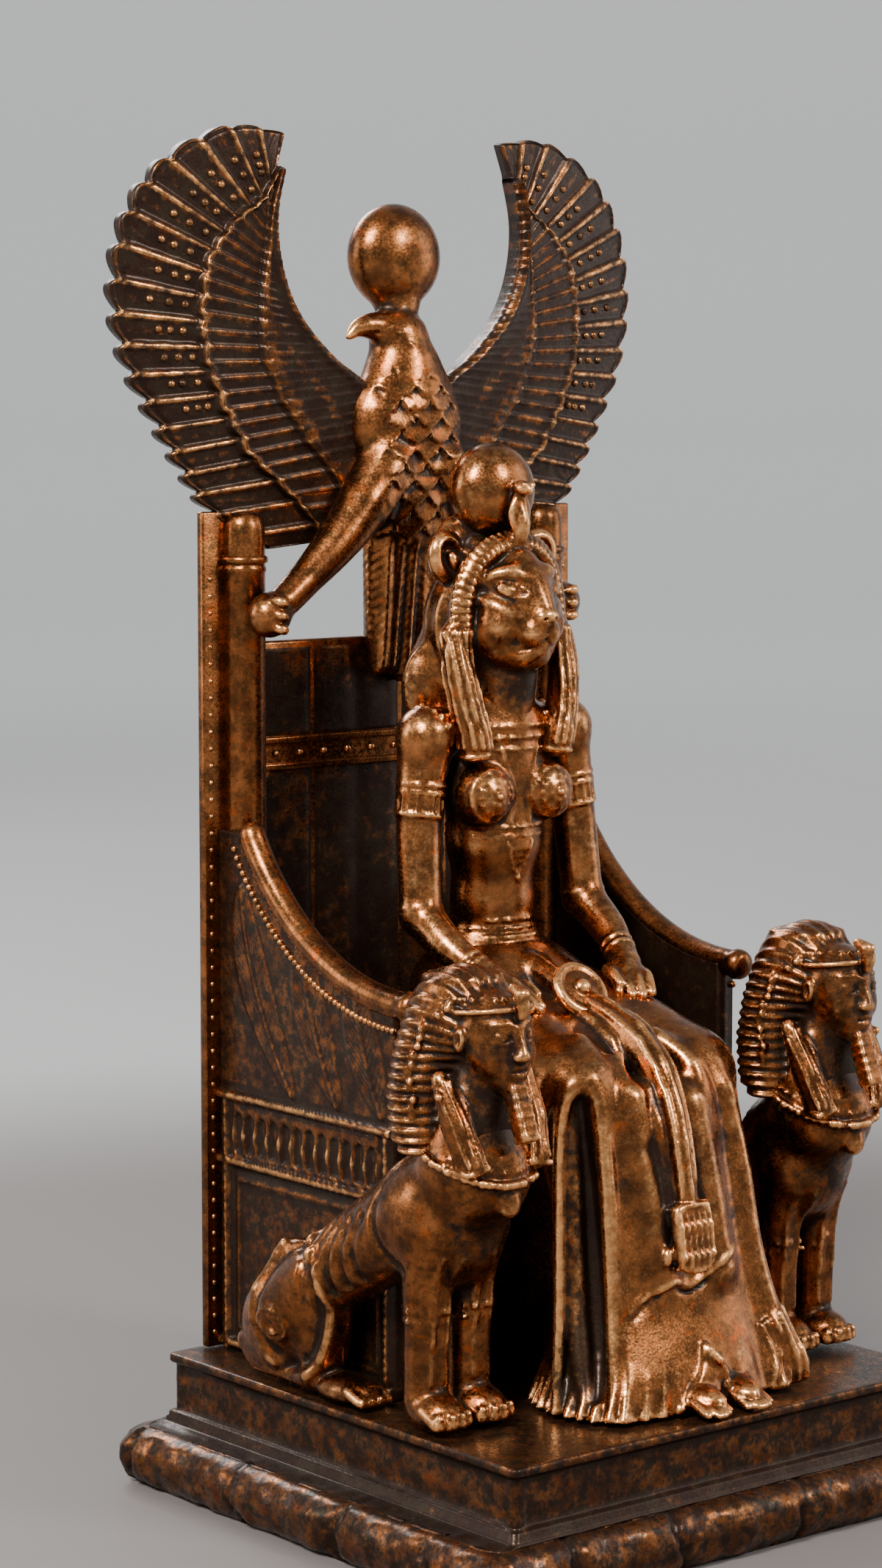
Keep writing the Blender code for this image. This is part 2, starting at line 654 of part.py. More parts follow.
def make_sphinx(side):
    """A seated lion with a king's head in a striped headcloth, its rear half beside the throne."""
    shape = bmesh.new()
    unit = SPHINX_HEIGHT / DRAWN_SPHINX

    def at(x, y, z):
        return Vector((side * (side_plane + (x - DRAWN_SIDE) * unit),
                       front_y + (y - DRAWN_FRONT) * unit,
                       plinth_top + (z - DRAWN_PLINTH) * unit))

    def add(x, y, z, radii, turn=(0, 0, 0)):
        swing = (turn[0], side * turn[1], side * turn[2])
        ball(shape, at(x, y, z), [r * unit for r in radii], swing)

    def chain(points, radii, flat=1.0):
        limb(shape, [at(*p) for p in points], [r * unit for r in radii], flat)

    # Head: face, headcloth with its spreading sides, cobra and beard
    add(43.6, -34.2, 98.5, (6.9, 8, 9.2))
    add(43.6, -41, 97, (1.5, 2.2, 3))
    add(43.6, -26, 100.3, (9.4, 9.6, 10.2))
    wrap = []
    for z, half, front, back in ((108, 7, -33, -18), (103, 10, -32, -16), (96, 13, -30, -14.5),
                                 (88, 15, -29.5, -14), (80, 15.6, -31, -15), (77, 13.5, -30, -18)):
        ring = []
        for n in range(16):
            angle = 2 * math.pi * n / 16
            x = 43.6 + half * math.cos(angle)
            y = (front + back) / 2 + (back - front) / 2 * math.sin(angle)
            ring.append(at(x, y, z))
        wrap.append(ring)
    ring_loft(shape, wrap)
    chain(((43.6, -41.6, 108.6), (43.6, -39.6, 104.5)), (1.6, 1.9))
    chain(((43.6, -40.5, 90), (43.6, -42.4, 82.5)), (2, 2.3))
    for lappet in (-1, 1):
        chain(((43.6 + lappet * 8, -34, 88), (43.6 + lappet * 7, -37.5, 74)), (3.4, 2.8))
    # Chest, forelegs and paws
    chain(((43.8, -25, 88), (43.8, -28.5, 76)), (8.6, 10.4))
    add(44, -28.5, 72.5, (10, 10.8, 10.5))
    add(44.2, -20.5, 63, (9.8, 12.5, 13))
    for leg in (-1, 1):
        x = 44.4 + leg * 5
        chain(((x, -24, 62), (x, -21.8, 46), (x, -21.6, 30.5)), (5.8, 4.5, 4))
        add(x, -25.4, 28.6, (4.6, 7.2, 3.9))
    # Body down to the haunch, and the folded hind leg
    chain(((45.4, -17, 63), (47.4, -5, 56), (49, 7, 48), (49.4, 17, 40)), (10.5, 8.6, 7.6, 8.4))
    add(49.4, 12.5, 41, (5.2, 9, 13.5), (-26, 0, 0))
    add(49.4, 22.5, 35, (5, 10.2, 10.2))
    chain(((50.4, 5, 48), (50.6, 3.5, 39), (50, 9, 29.5)), (3.6, 3.2, 3.4))
    add(49.8, 1, 27.6, (4.4, 8.5, 3))
    chain(((49.6, 32, 31), (50.6, 26, 27.2), (51, 14, 27.3)), (2.4, 2.3, 2.6))
    name = "sphinx_left" if side > 0 else "sphinx_right"
    body = modelled(name, shape, 0.9 * unit, 1180)
    bmesh.ops.recalc_face_normals(body, faces=body.faces)
    sphinx = piece(name, body)
    side_cut = bmesh.new()
    reach = side_plane + GAP
    far = 2 * DRAWN_SPHINX * unit
    x = span(side, reach, reach - far)
    box(side_cut, (x[0], front_y - 4.2 * unit - 2 * ARM_RADIUS, -far), (x[1], far, 2 * far))
    boolean(sphinx, helper(name + "_throne_clearance", side_cut), "DIFFERENCE")
    floor_cut = bmesh.new()
    box(floor_cut, (-far, -far, -far), (far, far, base_level))
    boolean(sphinx, helper(name + "_plinth_clearance", floor_cut), "DIFFERENCE")
    return sphinx


make_plinth()
make_throne()
make_goddess()
for sphinx_side in (-1, 1):
    make_sphinx(sphinx_side)
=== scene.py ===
"""The looks of the lioness goddess on her falcon throne: worn copper over finely modelled forms.

Drawn points and sizes are in millimetres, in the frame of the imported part: +Z is up, the front
faces -Y, and the origin is the middle of the plinth's underside. The figures are modelled as clay,
a grid of distances that forms are melted into, and the wings, panels and plinth are fine grids.
"""

from math import cos, exp, pi, radians, sin

import bmesh
import bpy
import numpy as np
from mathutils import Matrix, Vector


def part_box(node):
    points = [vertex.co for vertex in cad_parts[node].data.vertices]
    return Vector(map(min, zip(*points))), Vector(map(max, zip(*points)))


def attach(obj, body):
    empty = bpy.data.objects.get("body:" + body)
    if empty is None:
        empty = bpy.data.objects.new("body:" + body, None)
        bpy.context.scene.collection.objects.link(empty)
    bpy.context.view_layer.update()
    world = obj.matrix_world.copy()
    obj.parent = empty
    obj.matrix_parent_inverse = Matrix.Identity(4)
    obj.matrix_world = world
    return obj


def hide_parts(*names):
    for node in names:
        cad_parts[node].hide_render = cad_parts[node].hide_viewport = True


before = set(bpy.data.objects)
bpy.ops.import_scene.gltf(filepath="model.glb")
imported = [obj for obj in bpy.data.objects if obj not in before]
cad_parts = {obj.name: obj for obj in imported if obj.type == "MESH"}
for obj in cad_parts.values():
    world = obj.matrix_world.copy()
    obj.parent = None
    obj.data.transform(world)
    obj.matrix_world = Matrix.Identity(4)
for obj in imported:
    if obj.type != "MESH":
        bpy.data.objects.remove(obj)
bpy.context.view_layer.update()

import openvdb
from mathutils import Matrix, Vector, noise

MM = 0.001
SIDES = (-1, 1)

# In the clay: the distance of empty cells, and how far beyond its skin a form is worked out
FAR = 9.0
MARGIN = 1.6


def corner(node, k):
    """The lowest (0) or highest (1) corner of a CAD node, in millimetres."""
    return [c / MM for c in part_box(node)[k]]


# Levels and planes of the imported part
plinth_top = corner("plinth", 1)[2]
base_level = plinth_top + 0.3
slab_half_x = corner("plinth", 1)[0]
slab_half_y = corner("plinth", 1)[1]
front_y = -4.8
back_y = 51.6
board_y = 49.2
seat_top = 79.9
arm_front = 99.9
arm_top = 127.9
post_top = 189.9
side_plane = 44.5
panel_plane = 43.4
column_x = 38.3
column_y = 47.94
column_radius = 4.2
arm_radius = 2.7
frieze_bottom = 61.95
frieze_top = 74.95


# Clay


def smooth_min(a, b, melt):
    """The smaller of two distances, rounded where they meet."""
    near = np.maximum(melt - np.abs(a - b), 0) / melt
    return np.minimum(a, b) - near * near * melt * 0.25


def turned(angles):
    """The rotation by degrees about X, then Y, then Z."""
    spin = Matrix.Identity(3)
    for angle, axis in zip(angles, "XYZ"):
        spin = Matrix.Rotation(radians(angle), 3, axis) @ spin
    return np.array(spin)


def angles(count, start=0, end=360):
    """Evenly spaced angles between two in degrees, both ends included, in radians."""
    return [radians(start + (end - start) * k / (count - 1)) for k in range(count)]


def local(x, y, z, centre, angles):
    """Grid coordinates seen from a turned centre."""
    spin = turned(angles)
    away = (x - centre[0], y - centre[1], z - centre[2])
    return [spin[0][k] * away[0] + spin[1][k] * away[1] + spin[2][k] * away[2] for k in range(3)]


def sampled(points, radii, steps):
    """A smooth curve through the points, with radii between the given ones."""
    points = np.array(points, np.float32)
    last = len(points) - 1
    spans = np.linspace(0, last, last * steps + 1)
    first = np.minimum(spans.astype(int), last - 1)
    f = (spans - first)[:, None]
    p = [points[np.clip(first + k, 0, last)] for k in (-1, 0, 1, 2)]
    curve = 0.5 * (2 * p[1] + (p[2] - p[0]) * f + (2 * p[0] - 5 * p[1] + 4 * p[2] - p[3]) * f ** 2
                   + (3 * p[1] - p[0] - 3 * p[2] + p[3]) * f ** 3)
    sizes = np.interp(spans, range(last + 1), np.broadcast_to(radii, last + 1))
    return curve, sizes


class Clay:
    """A block of clay: a grid of distances in millimetres, negative inside."""

    def __init__(self, low, high, step):
        self.low = np.array(low, np.float32)
        self.step = step
        cells = np.ceil((np.array(high) - self.low) / step).astype(int) + 1
        self.field = np.full(cells, FAR, np.float32)
        # Spots where shade is painted into the wash
        self.painted_shade = []

    def window(self, low, high):
        """The part of the grid between two corners, with its coordinates."""
        first = np.floor((np.array(low) - self.low) / self.step).astype(int)
        first = np.clip(first, 0, self.field.shape)
        last = np.ceil((np.array(high) - self.low) / self.step).astype(int) + 1
        last = np.maximum(np.minimum(last, self.field.shape), first)
        part = tuple(slice(a, b) for a, b in zip(first, last))
        x, y, z = [self.low[k] + self.step * np.arange(first[k], last[k], dtype=np.float32)
                   for k in range(3)]
        return part, x[:, None, None], y[None, :, None], z[None, None, :]

    def put(self, part, form, melt, cut):
        """Melt a form into the clay, or cut it away."""
        if cut:
            self.field[part] = -smooth_min(-self.field[part], form, melt)
        else:
            self.field[part] = smooth_min(self.field[part], form, melt)

    def ball(self, centre, radii, turn=(0, 0, 0), melt=1.0, cut=False):
        """An ellipsoid."""
        reach = max(radii) + melt + MARGIN
        part, x, y, z = self.window(np.subtract(centre, reach), np.add(centre, reach))
        p = local(x, y, z, centre, turn)
        near = np.sqrt(sum((c / r) ** 2 for c, r in zip(p, radii)))
        slope = np.sqrt(sum((c / r ** 2) ** 2 for c, r in zip(p, radii))) + 1e-6
        self.put(part, near * (near - 1) / slope, melt, cut)

    def block(self, centre, half, rounding=0.5, turn=(0, 0, 0), melt=0.4, cut=False):
        """A box with rounded edges."""
        reach = float(np.linalg.norm(half)) + melt + MARGIN
        part, x, y, z = self.window(np.subtract(centre, reach), np.add(centre, reach))
        p = local(x, y, z, centre, turn)
        q = [np.abs(c) - (h - rounding) for c, h in zip(p, half)]
        outside = np.sqrt(sum(np.maximum(c, 0) ** 2 for c in q))
        inside = np.minimum(np.maximum(np.maximum(q[0], q[1]), q[2]), 0)
        self.put(part, outside + inside - rounding, melt, cut)

    def tube(self, points, radii, melt=1.0, steps=5, cut=False):
        """A tapered tube with round ends along a smooth curve."""
        if len(points) < 2:
            return
        path, sizes = sampled(points, radii, steps)
        reach = sizes.max() + melt + MARGIN
        part, x, y, z = self.window(path.min(0) - reach, path.max(0) + reach)
        form = np.full((x.size, y.size, z.size), FAR, np.float32)
        for a, b, ra, rb in zip(path, path[1:], sizes, sizes[1:]):
            low = np.minimum(a, b) - reach
            high = np.maximum(a, b) + reach
            piece, px, py, pz = self.window(low, high)
            away = (px - a[0], py - a[1], pz - a[2])
            along = b - a
            share = sum(d * c for d, c in zip(away, along)) / max(float(along @ along), 1e-6)
            share = np.clip(share, 0, 1)
            gap = np.sqrt(sum((d - share * c) ** 2 for d, c in zip(away, along)))
            spot = tuple(slice(s.start - w.start, s.stop - w.start) for s, w in zip(piece, part))
            form[spot] = np.minimum(form[spot], gap - (ra + (rb - ra) * share))
        self.put(part, form, melt, cut)

    def relief(self, low, high, rise):
        """Raise the skin between two corners by rise(x, y, z) millimetres."""
        part, x, y, z = self.window(low, high)
        self.field[part] -= rise(x, y, z).astype(np.float32)

    def paint_shade(self, centre, radii, strength):
        """Paint shade softly around a place, by darkening the wash there."""
        self.painted_shade.append((centre, radii, strength))

    def clear(self, low, high):
        """Take away all clay between two corners."""
        self.field[self.window(low, high)[0]] = FAR

    def land(self, points, toward, reach=30):
        """The places where points that move in a direction meet the clay."""
        points = np.array(points, float).reshape(-1, 3)
        toward = np.broadcast_to(np.array(toward, float), points.shape)
        toward = toward / np.linalg.norm(toward, axis=1, keepdims=True)
        stops = np.arange(0, reach, 0.5 * self.step)
        path = points[:, None, :] + stops[None, :, None] * toward[:, None, :]
        index = np.rint((path - self.low) / self.step).astype(int)
        inside = ((index >= 0) & (index < self.field.shape)).all(2)
        index = np.clip(index, 0, np.array(self.field.shape) - 1)
        depth = np.where(inside, self.field[index[..., 0], index[..., 1], index[..., 2]], FAR)
        met = depth < 0
        return [tuple(path[i, met[i].argmax()]) for i in range(len(points)) if met[i].any()]

    def beads(self, points, toward, radius, melt=0.25):
        """Small balls set on the skin."""
        for spot in self.land(points, toward):
            self.ball(spot, (radius, radius, radius), melt=melt)

    def cord(self, points, toward, radius, melt=0.3, steps=3, cut=False):
        """A thin raised line, or a cut one, laid on the skin. It breaks off where the skin drops."""
        toward = np.broadcast_to(np.array(toward, float), (len(points), 3))
        both = np.concatenate([np.array(points, float), toward], axis=1)
        last = len(points) - 1
        spans = np.linspace(0, last, last * steps + 1)
        path = sampled(both[:, :3], 1, steps)[0]
        ways = np.stack([np.interp(spans, range(last + 1), both[:, 3 + k]) for k in range(3)], axis=-1)
        spots = self.land(path, ways)
        stride = max((np.linalg.norm(b - a) for a, b in zip(path, path[1:])), default=1)
        run = []
        for spot in spots:
            if run and np.linalg.norm(np.subtract(spot, run[-1])) > 2.2 * stride + 1.0:
                self.tube(run, radius, melt, 1, cut)
                run = []
            run.append(spot)
        self.tube(run, radius, melt, 1, cut)

    def masks(self, spots):
        """How worn and how hollow the skin is at some places, from how full the clay is around, with
        painted shade added between close parts and at the spots of painted shade.
        """
        full = np.clip(0.5 - self.field / self.step, 0, 1)
        close = self.sampled_at(blurred(full, max(1, round(0.9 / self.step))), spots)
        wide = self.sampled_at(blurred(full, max(2, round(3.2 / self.step))), spots)
        edge = np.clip((0.5 - close) * 4.0, 0, 1)
        # The close fullness gives the patina in small hollows; the wide fullness paints shade in the
        # spaces between close parts, such as between arms and torso.
        hollow_and_shade = np.clip((close - 0.5) * 4.0, 0, 1) + np.clip((wide - 0.5) * 2.6, 0, 1)
        places = self.low + spots * self.step
        # Painted shade at its spots
        for centre, radii, strength in self.painted_shade:
            off = (places - np.array(centre)) / np.array(radii)
            hollow_and_shade = hollow_and_shade + strength * np.exp(-(off ** 2).sum(1))
        return edge, np.clip(hollow_and_shade, 0, 1)

    def sampled_at(self, values, spots):
        """Grid values at index positions, blended between the nearest cells."""
        first = np.clip(np.floor(spots).astype(int), 0, np.array(values.shape) - 2)
        f = spots - first
        total = 0
        for dx in (0, 1):
            for dy in (0, 1):
                for dz in (0, 1):
                    share = (abs(1 - dx - f[:, 0]) * abs(1 - dy - f[:, 1]) * abs(1 - dz - f[:, 2]))
                    total = total + share * values[first[:, 0] + dx, first[:, 1] + dy, first[:, 2] + dz]
        return total

    def skin(self, name, adaptivity=0.0):
        """The clay's surface as a mesh object, without loose bits."""
        grid = openvdb.FloatGrid(FAR)
        grid.copyFromArray(self.field)
        spots, triangles, quads = grid.convertToPolygons(isovalue=0.0, adaptivity=adaptivity)
        triangles, quads = largest(len(spots), triangles.astype(int), quads.astype(int))
        used = np.unique(np.concatenate([triangles.ravel(), quads.ravel()]))
        place = np.zeros(len(spots), int)
        place[used] = np.arange(len(used))
        spots = spots[used].astype(float)
        edge, hollow_and_shade = self.masks(spots)
        points = (self.low + spots * self.step) * MM
        return mesh_object(name, points, place[triangles], place[quads], edge, hollow_and_shade)


def blurred(values, radius):
    """A box blur over the grid, twice along each axis."""
    for _ in range(2):
        for axis in range(3):
            pad = [(radius + 1, radius) if k == axis else (0, 0) for k in range(3)]
            total = np.cumsum(np.pad(values, pad, mode="edge"), axis=axis, dtype=np.float64)
            size = values.shape[axis]
            high = np.take(total, range(2 * radius + 1, 2 * radius + 1 + size), axis=axis)
            low = np.take(total, range(size), axis=axis)
            values = ((high - low) / (2 * radius + 1)).astype(np.float32)
    return values


def largest(count, triangles, quads):
    """The faces of the largest connected skin."""
    pairs = [triangles[:, [0, 1]], triangles[:, [1, 2]], quads[:, [0, 1]], quads[:, [1, 2]],
             quads[:, [2, 3]]]
    pairs = np.concatenate(pairs)
    label = np.arange(count)
    while True:
        least = np.minimum(label[pairs[:, 0]], label[pairs[:, 1]])
        changed = label.copy()
        np.minimum.at(changed, pairs[:, 0], least)
        np.minimum.at(changed, pairs[:, 1], least)
        changed = changed[changed]
        if (changed == label).all():
            break
        label = changed
    names, sizes = np.unique(label, return_counts=True)
    main = names[sizes.argmax()]
    return triangles[label[triangles[:, 0]] == main], quads[label[quads[:, 0]] == main]


def linked(name, data):
    """A new object of the scene with its mesh, lamp or camera."""
    made = bpy.data.objects.new(name, data)
    bpy.context.scene.collection.objects.link(made)
    return made


def mesh_object(name, points, triangles, quads, edge, hollow_and_shade):
    """A smooth mesh object from arrays in metres, with its wear mask and its mask of patina and painted
    shade.
    """
    mesh = bpy.data.meshes.new(name)
    corners = np.concatenate([np.ravel(triangles), np.ravel(quads)]).astype(np.int32)
    sides = np.concatenate([np.full(len(triangles), 3), np.full(len(quads), 4)])
    starts = np.concatenate([[0], np.cumsum(sides)[:-1]]).astype(np.int32)
    mesh.vertices.add(len(points))
    mesh.vertices.foreach_set("co", np.asarray(points, np.float32).ravel())
    mesh.loops.add(len(corners))
    mesh.loops.foreach_set("vertex_index", corners)
    mesh.polygons.add(len(sides))
    mesh.polygons.foreach_set("loop_start", starts)
    mesh.update(calc_edges=True)
    mesh.shade_smooth()
    for key, values in (("edge", edge), ("hollow_and_shade", hollow_and_shade)):
        layer = mesh.attributes.new(key, "FLOAT", "POINT")
        layer.data.foreach_set("value", np.asarray(values, np.float32))
    return linked(name, mesh)


def closed_slab(outer, inner):
    """The points and quads of a slab between two grids of points."""
    rows, columns = outer.shape[:2]
    count = rows * columns
    index = np.arange(count).reshape(rows, columns)
    face = np.stack([index[:-1, :-1], index[1:, :-1], index[1:, 1:], index[:-1, 1:]], axis=-1)
    face = face.reshape(-1, 4)
    rim = np.concatenate([index[:, 0], index[-1, 1:], index[-2::-1, -1], index[0, -2:0:-1]])
    after = np.roll(rim, -1)
    wall = np.stack([rim, rim + count, after + count, after], axis=-1)
    points = np.concatenate([outer.reshape(-1, 3), inner.reshape(-1, 3)])
    return points, np.concatenate([face, face[:, ::-1] + count, wall])


def loft(shape, rings):
    """Add the faces between rings of points that all have the same number."""
    for lower, upper in zip(rings, rings[1:]):
        for i in range(len(lower)):
            j = (i + 1) % len(lower)
            shape.faces.new((lower[i], lower[j], upper[j], upper[i]))


def mirrored(source, name):
    """A copy of a piece on the other side of the middle plane."""
    mesh = source.data.copy()
    mesh.transform(Matrix.Diagonal((-1, 1, 1, 1)))
    mesh.flip_normals()
    return linked(name, mesh)


# Materials


class Finish:
    """A node material, with short ways to add and join nodes."""

    def __init__(self, name):
        self.material = bpy.data.materials.new(name)
        self.material.use_nodes = True
        self.tree = self.material.node_tree
        self.shader = self.tree.nodes["Principled BSDF"]

    def feed(self, socket, value):
        """Set a socket to a value, or join it to another socket."""
        if isinstance(value, bpy.types.NodeSocket):
            self.tree.links.new(value, socket)
        else:
            socket.default_value = value

    def add(self, kind, inputs, **settings):
        """A new node with its settings and inputs."""
        made = self.tree.nodes.new(kind)
        for key, value in settings.items():
            setattr(made, key, value)
        for key, value in inputs.items():
            self.feed(made.inputs[key], value)
        return made

    def noise(self, size, seed, detail=4.0, rough=0.55, stretch=(1, 1, 1)):
        """Cloudy noise with lumps about size millimetres across."""
        place = self.add("ShaderNodeTexCoord", {}).outputs["Object"]
        if stretch != (1, 1, 1):
            place = self.add("ShaderNodeMapping", {"Vector": place, "Scale": stretch}).outputs[0]
        inputs = {"Vector": place, "W": seed, "Scale": 1000 / size, "Detail": detail,
                  "Roughness": rough}
        return self.add("ShaderNodeTexNoise", inputs, noise_dimensions="4D").outputs[0]

    def sum(self, a, b, kind="ADD"):
        """Two values added, or joined by another operation."""
        made = self.add("ShaderNodeMath", {0: a, 1: b}, operation=kind)
        return made.outputs[0]

    def graded(self, value, low, high, start=0.0, end=1.0):
        """The value carried smoothly from one range to another."""
        inputs = {"Value": value, "From Min": low, "From Max": high, "To Min": start, "To Max": end}
        return self.add("ShaderNodeMapRange", inputs, interpolation_type="SMOOTHSTEP").outputs[0]

    def mix(self, share, a, b):
        """Two colours mixed, by the share of the second."""
        made = self.add("ShaderNodeMix", {0: share, 6: a, 7: b}, data_type="RGBA")
        return made.outputs[2]

    def mask(self, name):
        """A wear mask of the mesh."""
        return self.add("ShaderNodeAttribute", {}, attribute_name=name).outputs["Fac"]


# The copper from rubbed to tarnished, and the two tones of its wash, which also paints shade
BRIGHT = (0.90, 0.42, 0.155, 1)
COPPER = (0.34, 0.118, 0.036, 1)
RUSSET = (0.36, 0.075, 0.014, 1)
BROWN = (0.090, 0.034, 0.013, 1)
OLIVE = (0.085, 0.054, 0.015, 1)
WASH_AND_SHADE_BLACK = (0.014, 0.0065, 0.0042, 1)
GREEN_BLACK = (0.014, 0.011, 0.007, 1)


def worn_copper(name, seed, dark=0.0, olive=0.3, shine=0.0):
    """Copper darkened by a wash that stays in the hollows and is rubbed off the high places; the same
    wash is painted shade where the mask holds painted shade.
    """
    f = Finish(name)
    cloud = f.noise(5, seed, 6, 0.65)
    mottle = f.noise(1.7, seed + 3, 6)
    speck = f.noise(0.5, seed + 7, 3)
    stain = f.noise(2.2, seed + 11, 8, 0.7)
    edge = f.mask("edge")
    hollow_and_shade = f.mask("hollow_and_shade")
    base = f.mix(f.graded(cloud, 0.36, 0.64, 0.1, 0.95), BROWN, COPPER)
    base = f.mix(f.graded(mottle, 0.50, 0.68, 0, 0.8), base, BROWN)
    base = f.mix(f.graded(stain, 0.50, 0.64, 0, olive), base, OLIVE)
    base = f.mix(f.graded(f.noise(3, seed + 19, 5), 0.56, 0.70, 0, 0.7), base, RUSSET)
    rubbed = f.sum(edge, f.sum(f.sum(mottle, 0.5, "SUBTRACT"), 1.1, "MULTIPLY"))
    rubbed = f.graded(rubbed, 0.20 + dark, 0.85 + dark)
    base = f.mix(rubbed, base, BRIGHT)
    # The dark wash: patina in the hollows, and painted shade where the mask holds it
    depth = f.sum(hollow_and_shade, f.sum(f.sum(stain, 0.5, "SUBTRACT"), 1.5, "MULTIPLY"))
    washed_and_shaded = f.graded(depth, 0.10 - dark, 0.50 - dark)
    wash_and_shade = f.mix(f.graded(cloud, 0.45, 0.6), WASH_AND_SHADE_BLACK, GREEN_BLACK)
    base = f.mix(f.sum(washed_and_shaded, 0.96, "MULTIPLY"), base, wash_and_shade)
    f.feed(f.shader.inputs["Base Color"], base)
    f.feed(f.shader.inputs["Metallic"], f.graded(washed_and_shaded, 0.2, 1.0, 1.0, 0.6))
    gloss = f.sum(f.graded(washed_and_shaded, 0, 1, 0.24 - shine, 0.30), f.graded(speck, 0.35, 0.7, -0.04, 0.16))
    f.feed(f.shader.inputs["Roughness"], gloss)
    grain = f.sum(speck, f.sum(mottle, 0.8, "MULTIPLY"))
    bump = f.add("ShaderNodeBump", {"Height": grain, "Strength": 0.28, "Distance": 0.00012})
    f.feed(f.shader.inputs["Normal"], bump.outputs[0])
    f.shader.inputs["Specular IOR Level"].default_value = 0.25
    f.shader.inputs["Coat Weight"].default_value = 0.03
    f.shader.inputs["Coat Roughness"].default_value = 0.15
    return f.material


# Plinth


def level_ring(half_x, half_y, radius, counts):
    """Points round a level rectangle with round corners, each with its outward direction."""
    along_x, along_y, round_corner = counts
    ring = []
    quarter = ((1, 1, 0), (-1, 1, 90), (-1, -1, 180), (1, -1, 270))
    for k, (sx, sy, start) in enumerate(quarter):
        middle = Vector((sx * (half_x - radius), sy * (half_y - radius)))
        for a in angles(round_corner + 1, start, start + 90)[:-1]:
            way = Vector((cos(a), sin(a)))
            ring.append((middle + radius * way, way))
        nx, ny, _ = quarter[(k + 1) % 4]
        goal = Vector((nx * (half_x - radius), ny * (half_y - radius)))
        angle = radians(start + 90)
        way = Vector((cos(angle), sin(angle)))
        count = along_x if sy == ny else along_y
        for i in range(count):
            ring.append((middle.lerp(goal, i / count) + radius * way, way))
    return ring


def fractal(x, y, z, size):
    """Rough noise, about -1 to 1, with lumps of a size in millimetres."""
    return noise.fractal(Vector((x, y, z)) / size, 0.9, 2.1, 4)


# Place along a side and lean of each joint between the slab's stones
STONE_JOINTS = ((-46, -0.15), (-12, 0.22), (19, -0.2), (45, 0.12))


def rock_depth(x, y, z, way):
    """How far the slab's rough stone falls back from its outline: joints, chips and breaks."""
    flat_side = max(abs(way.x), abs(way.y)) > 0.97
    along = y if abs(way.x) > abs(way.y) else x
    turn = 1 if way.x + way.y > 0 else -1
    depth = 0.55 + 0.75 * fractal(x, y, z, 11) + 0.4 * fractal(x + 50, y, z * 1.6, 3.4)
    depth += 0.5 * max(fractal(x, y + 30, z, 6) - 0.25, 0)
    if flat_side:
        for k, (place, lean) in enumerate(STONE_JOINTS):
            spot = turn * place + (6 if abs(way.x) > abs(way.y) else 0)
            line = spot + lean * (z - 6) + 2.2 * fractal(x, y, z + 9 * k, 6)
            off = along - line
            depth += 1.1 * exp(-(off / 0.6) ** 2)
            depth += (0.5 if off > 0 else 0.15) * exp(-(off / 4.0) ** 2)
    return max(depth, 0)


SLAB_HEIGHT = 11.5
# In the profiles, (share of the slab's height, inset) and (lips out from the wall, level)
SLAB_PROFILE = ((0, 6.5), (0, 3.4), (0.05, 2.2), (0.12, 1.3), (0.2, 0.75), (0.3, 0.3), (0.4, 0.05),
                (0.5, 0), (0.6, 0.1), (0.69, 0.4), (0.77, 0.85), (0.84, 1.4), (0.9, 2.1),
                (0.94, 2.9), (0.965, 3.8), (0.97, 4.7))
SLOPE_STEPS = 4
DAIS_X = 54.5
DAIS_Y = 52.7
DAIS_LIP = 0.9
DAIS_PROFILE = ((1.7, 11.6), (1.7, 12.1), (1.2, 12.5), (1.2, 13.1), (0.7, 13.5), (0.0, 13.7),
                (0.0, 14.1), (0.0, 15.4), (0.0, 16.8), (0.0, 18.2), (0.0, 19.6), (0.0, 21.0),
                (0.0, 22.3), (0.0, 22.9), (0.75, 23.2), (1.0, 23.5), (1.0, 24.5), (0.8, 24.8),
                (0.45, 24.9), (-0.7, 24.9))
# Steps along X, along Y and round each corner of the plinth
RING_STEPS = (150, 138, 10)


def slab_point(spot, way, z):
    """A point of the rough slab, with how worn and how hollow it is."""
    x, y = spot
    depth = rock_depth(x, y, z, way)
    if z >= 0.3:
        x -= way.x * depth
        y -= way.y * depth
    edge = min(max(0.9 - depth, 0), 1) * (0.8 if 0.6 < z / SLAB_HEIGHT < 0.95 else 0.3)
    return (x, y, z), edge, min(max((depth - 1.0) * 0.8, 0.1), 1)


def slope_point(spot, z, share):
    """A point of the uneven ledge between the slab and the dais, with its wear."""
    x, y = spot
    drop = max(0.3 + 0.35 * fractal(x, y, 5, 6), 0)
    return (x, y, z - drop * sin(pi * share)), 0.0, 0.1 + 0.3 * drop + 0.25 * share


def dais_point(spot, way, z, out):
    """A point of the dais, whose walls are sunk between its corners, with its wear."""
    x, y = spot
    if 14 < z < 22.6:
        rough = 0.12 * fractal(x, y, z, 4)
        x -= way.x * rough
        y -= way.y * rough
        away = sorted((DAIS_X - abs(x), DAIS_Y - abs(y)))
        if away[1] > 3.2 and away[0] < 2:
            x -= way.x * 0.35
            y -= way.y * 0.35
    edge = 0.6 if out >= 0.75 and z > 24.3 else 0.3 if 12 < z < 13 or z > 23 else 0.0
    return (x, y, z), edge, 0.3 if z < 14.2 or 22.2 < z < 23.3 else 0.12


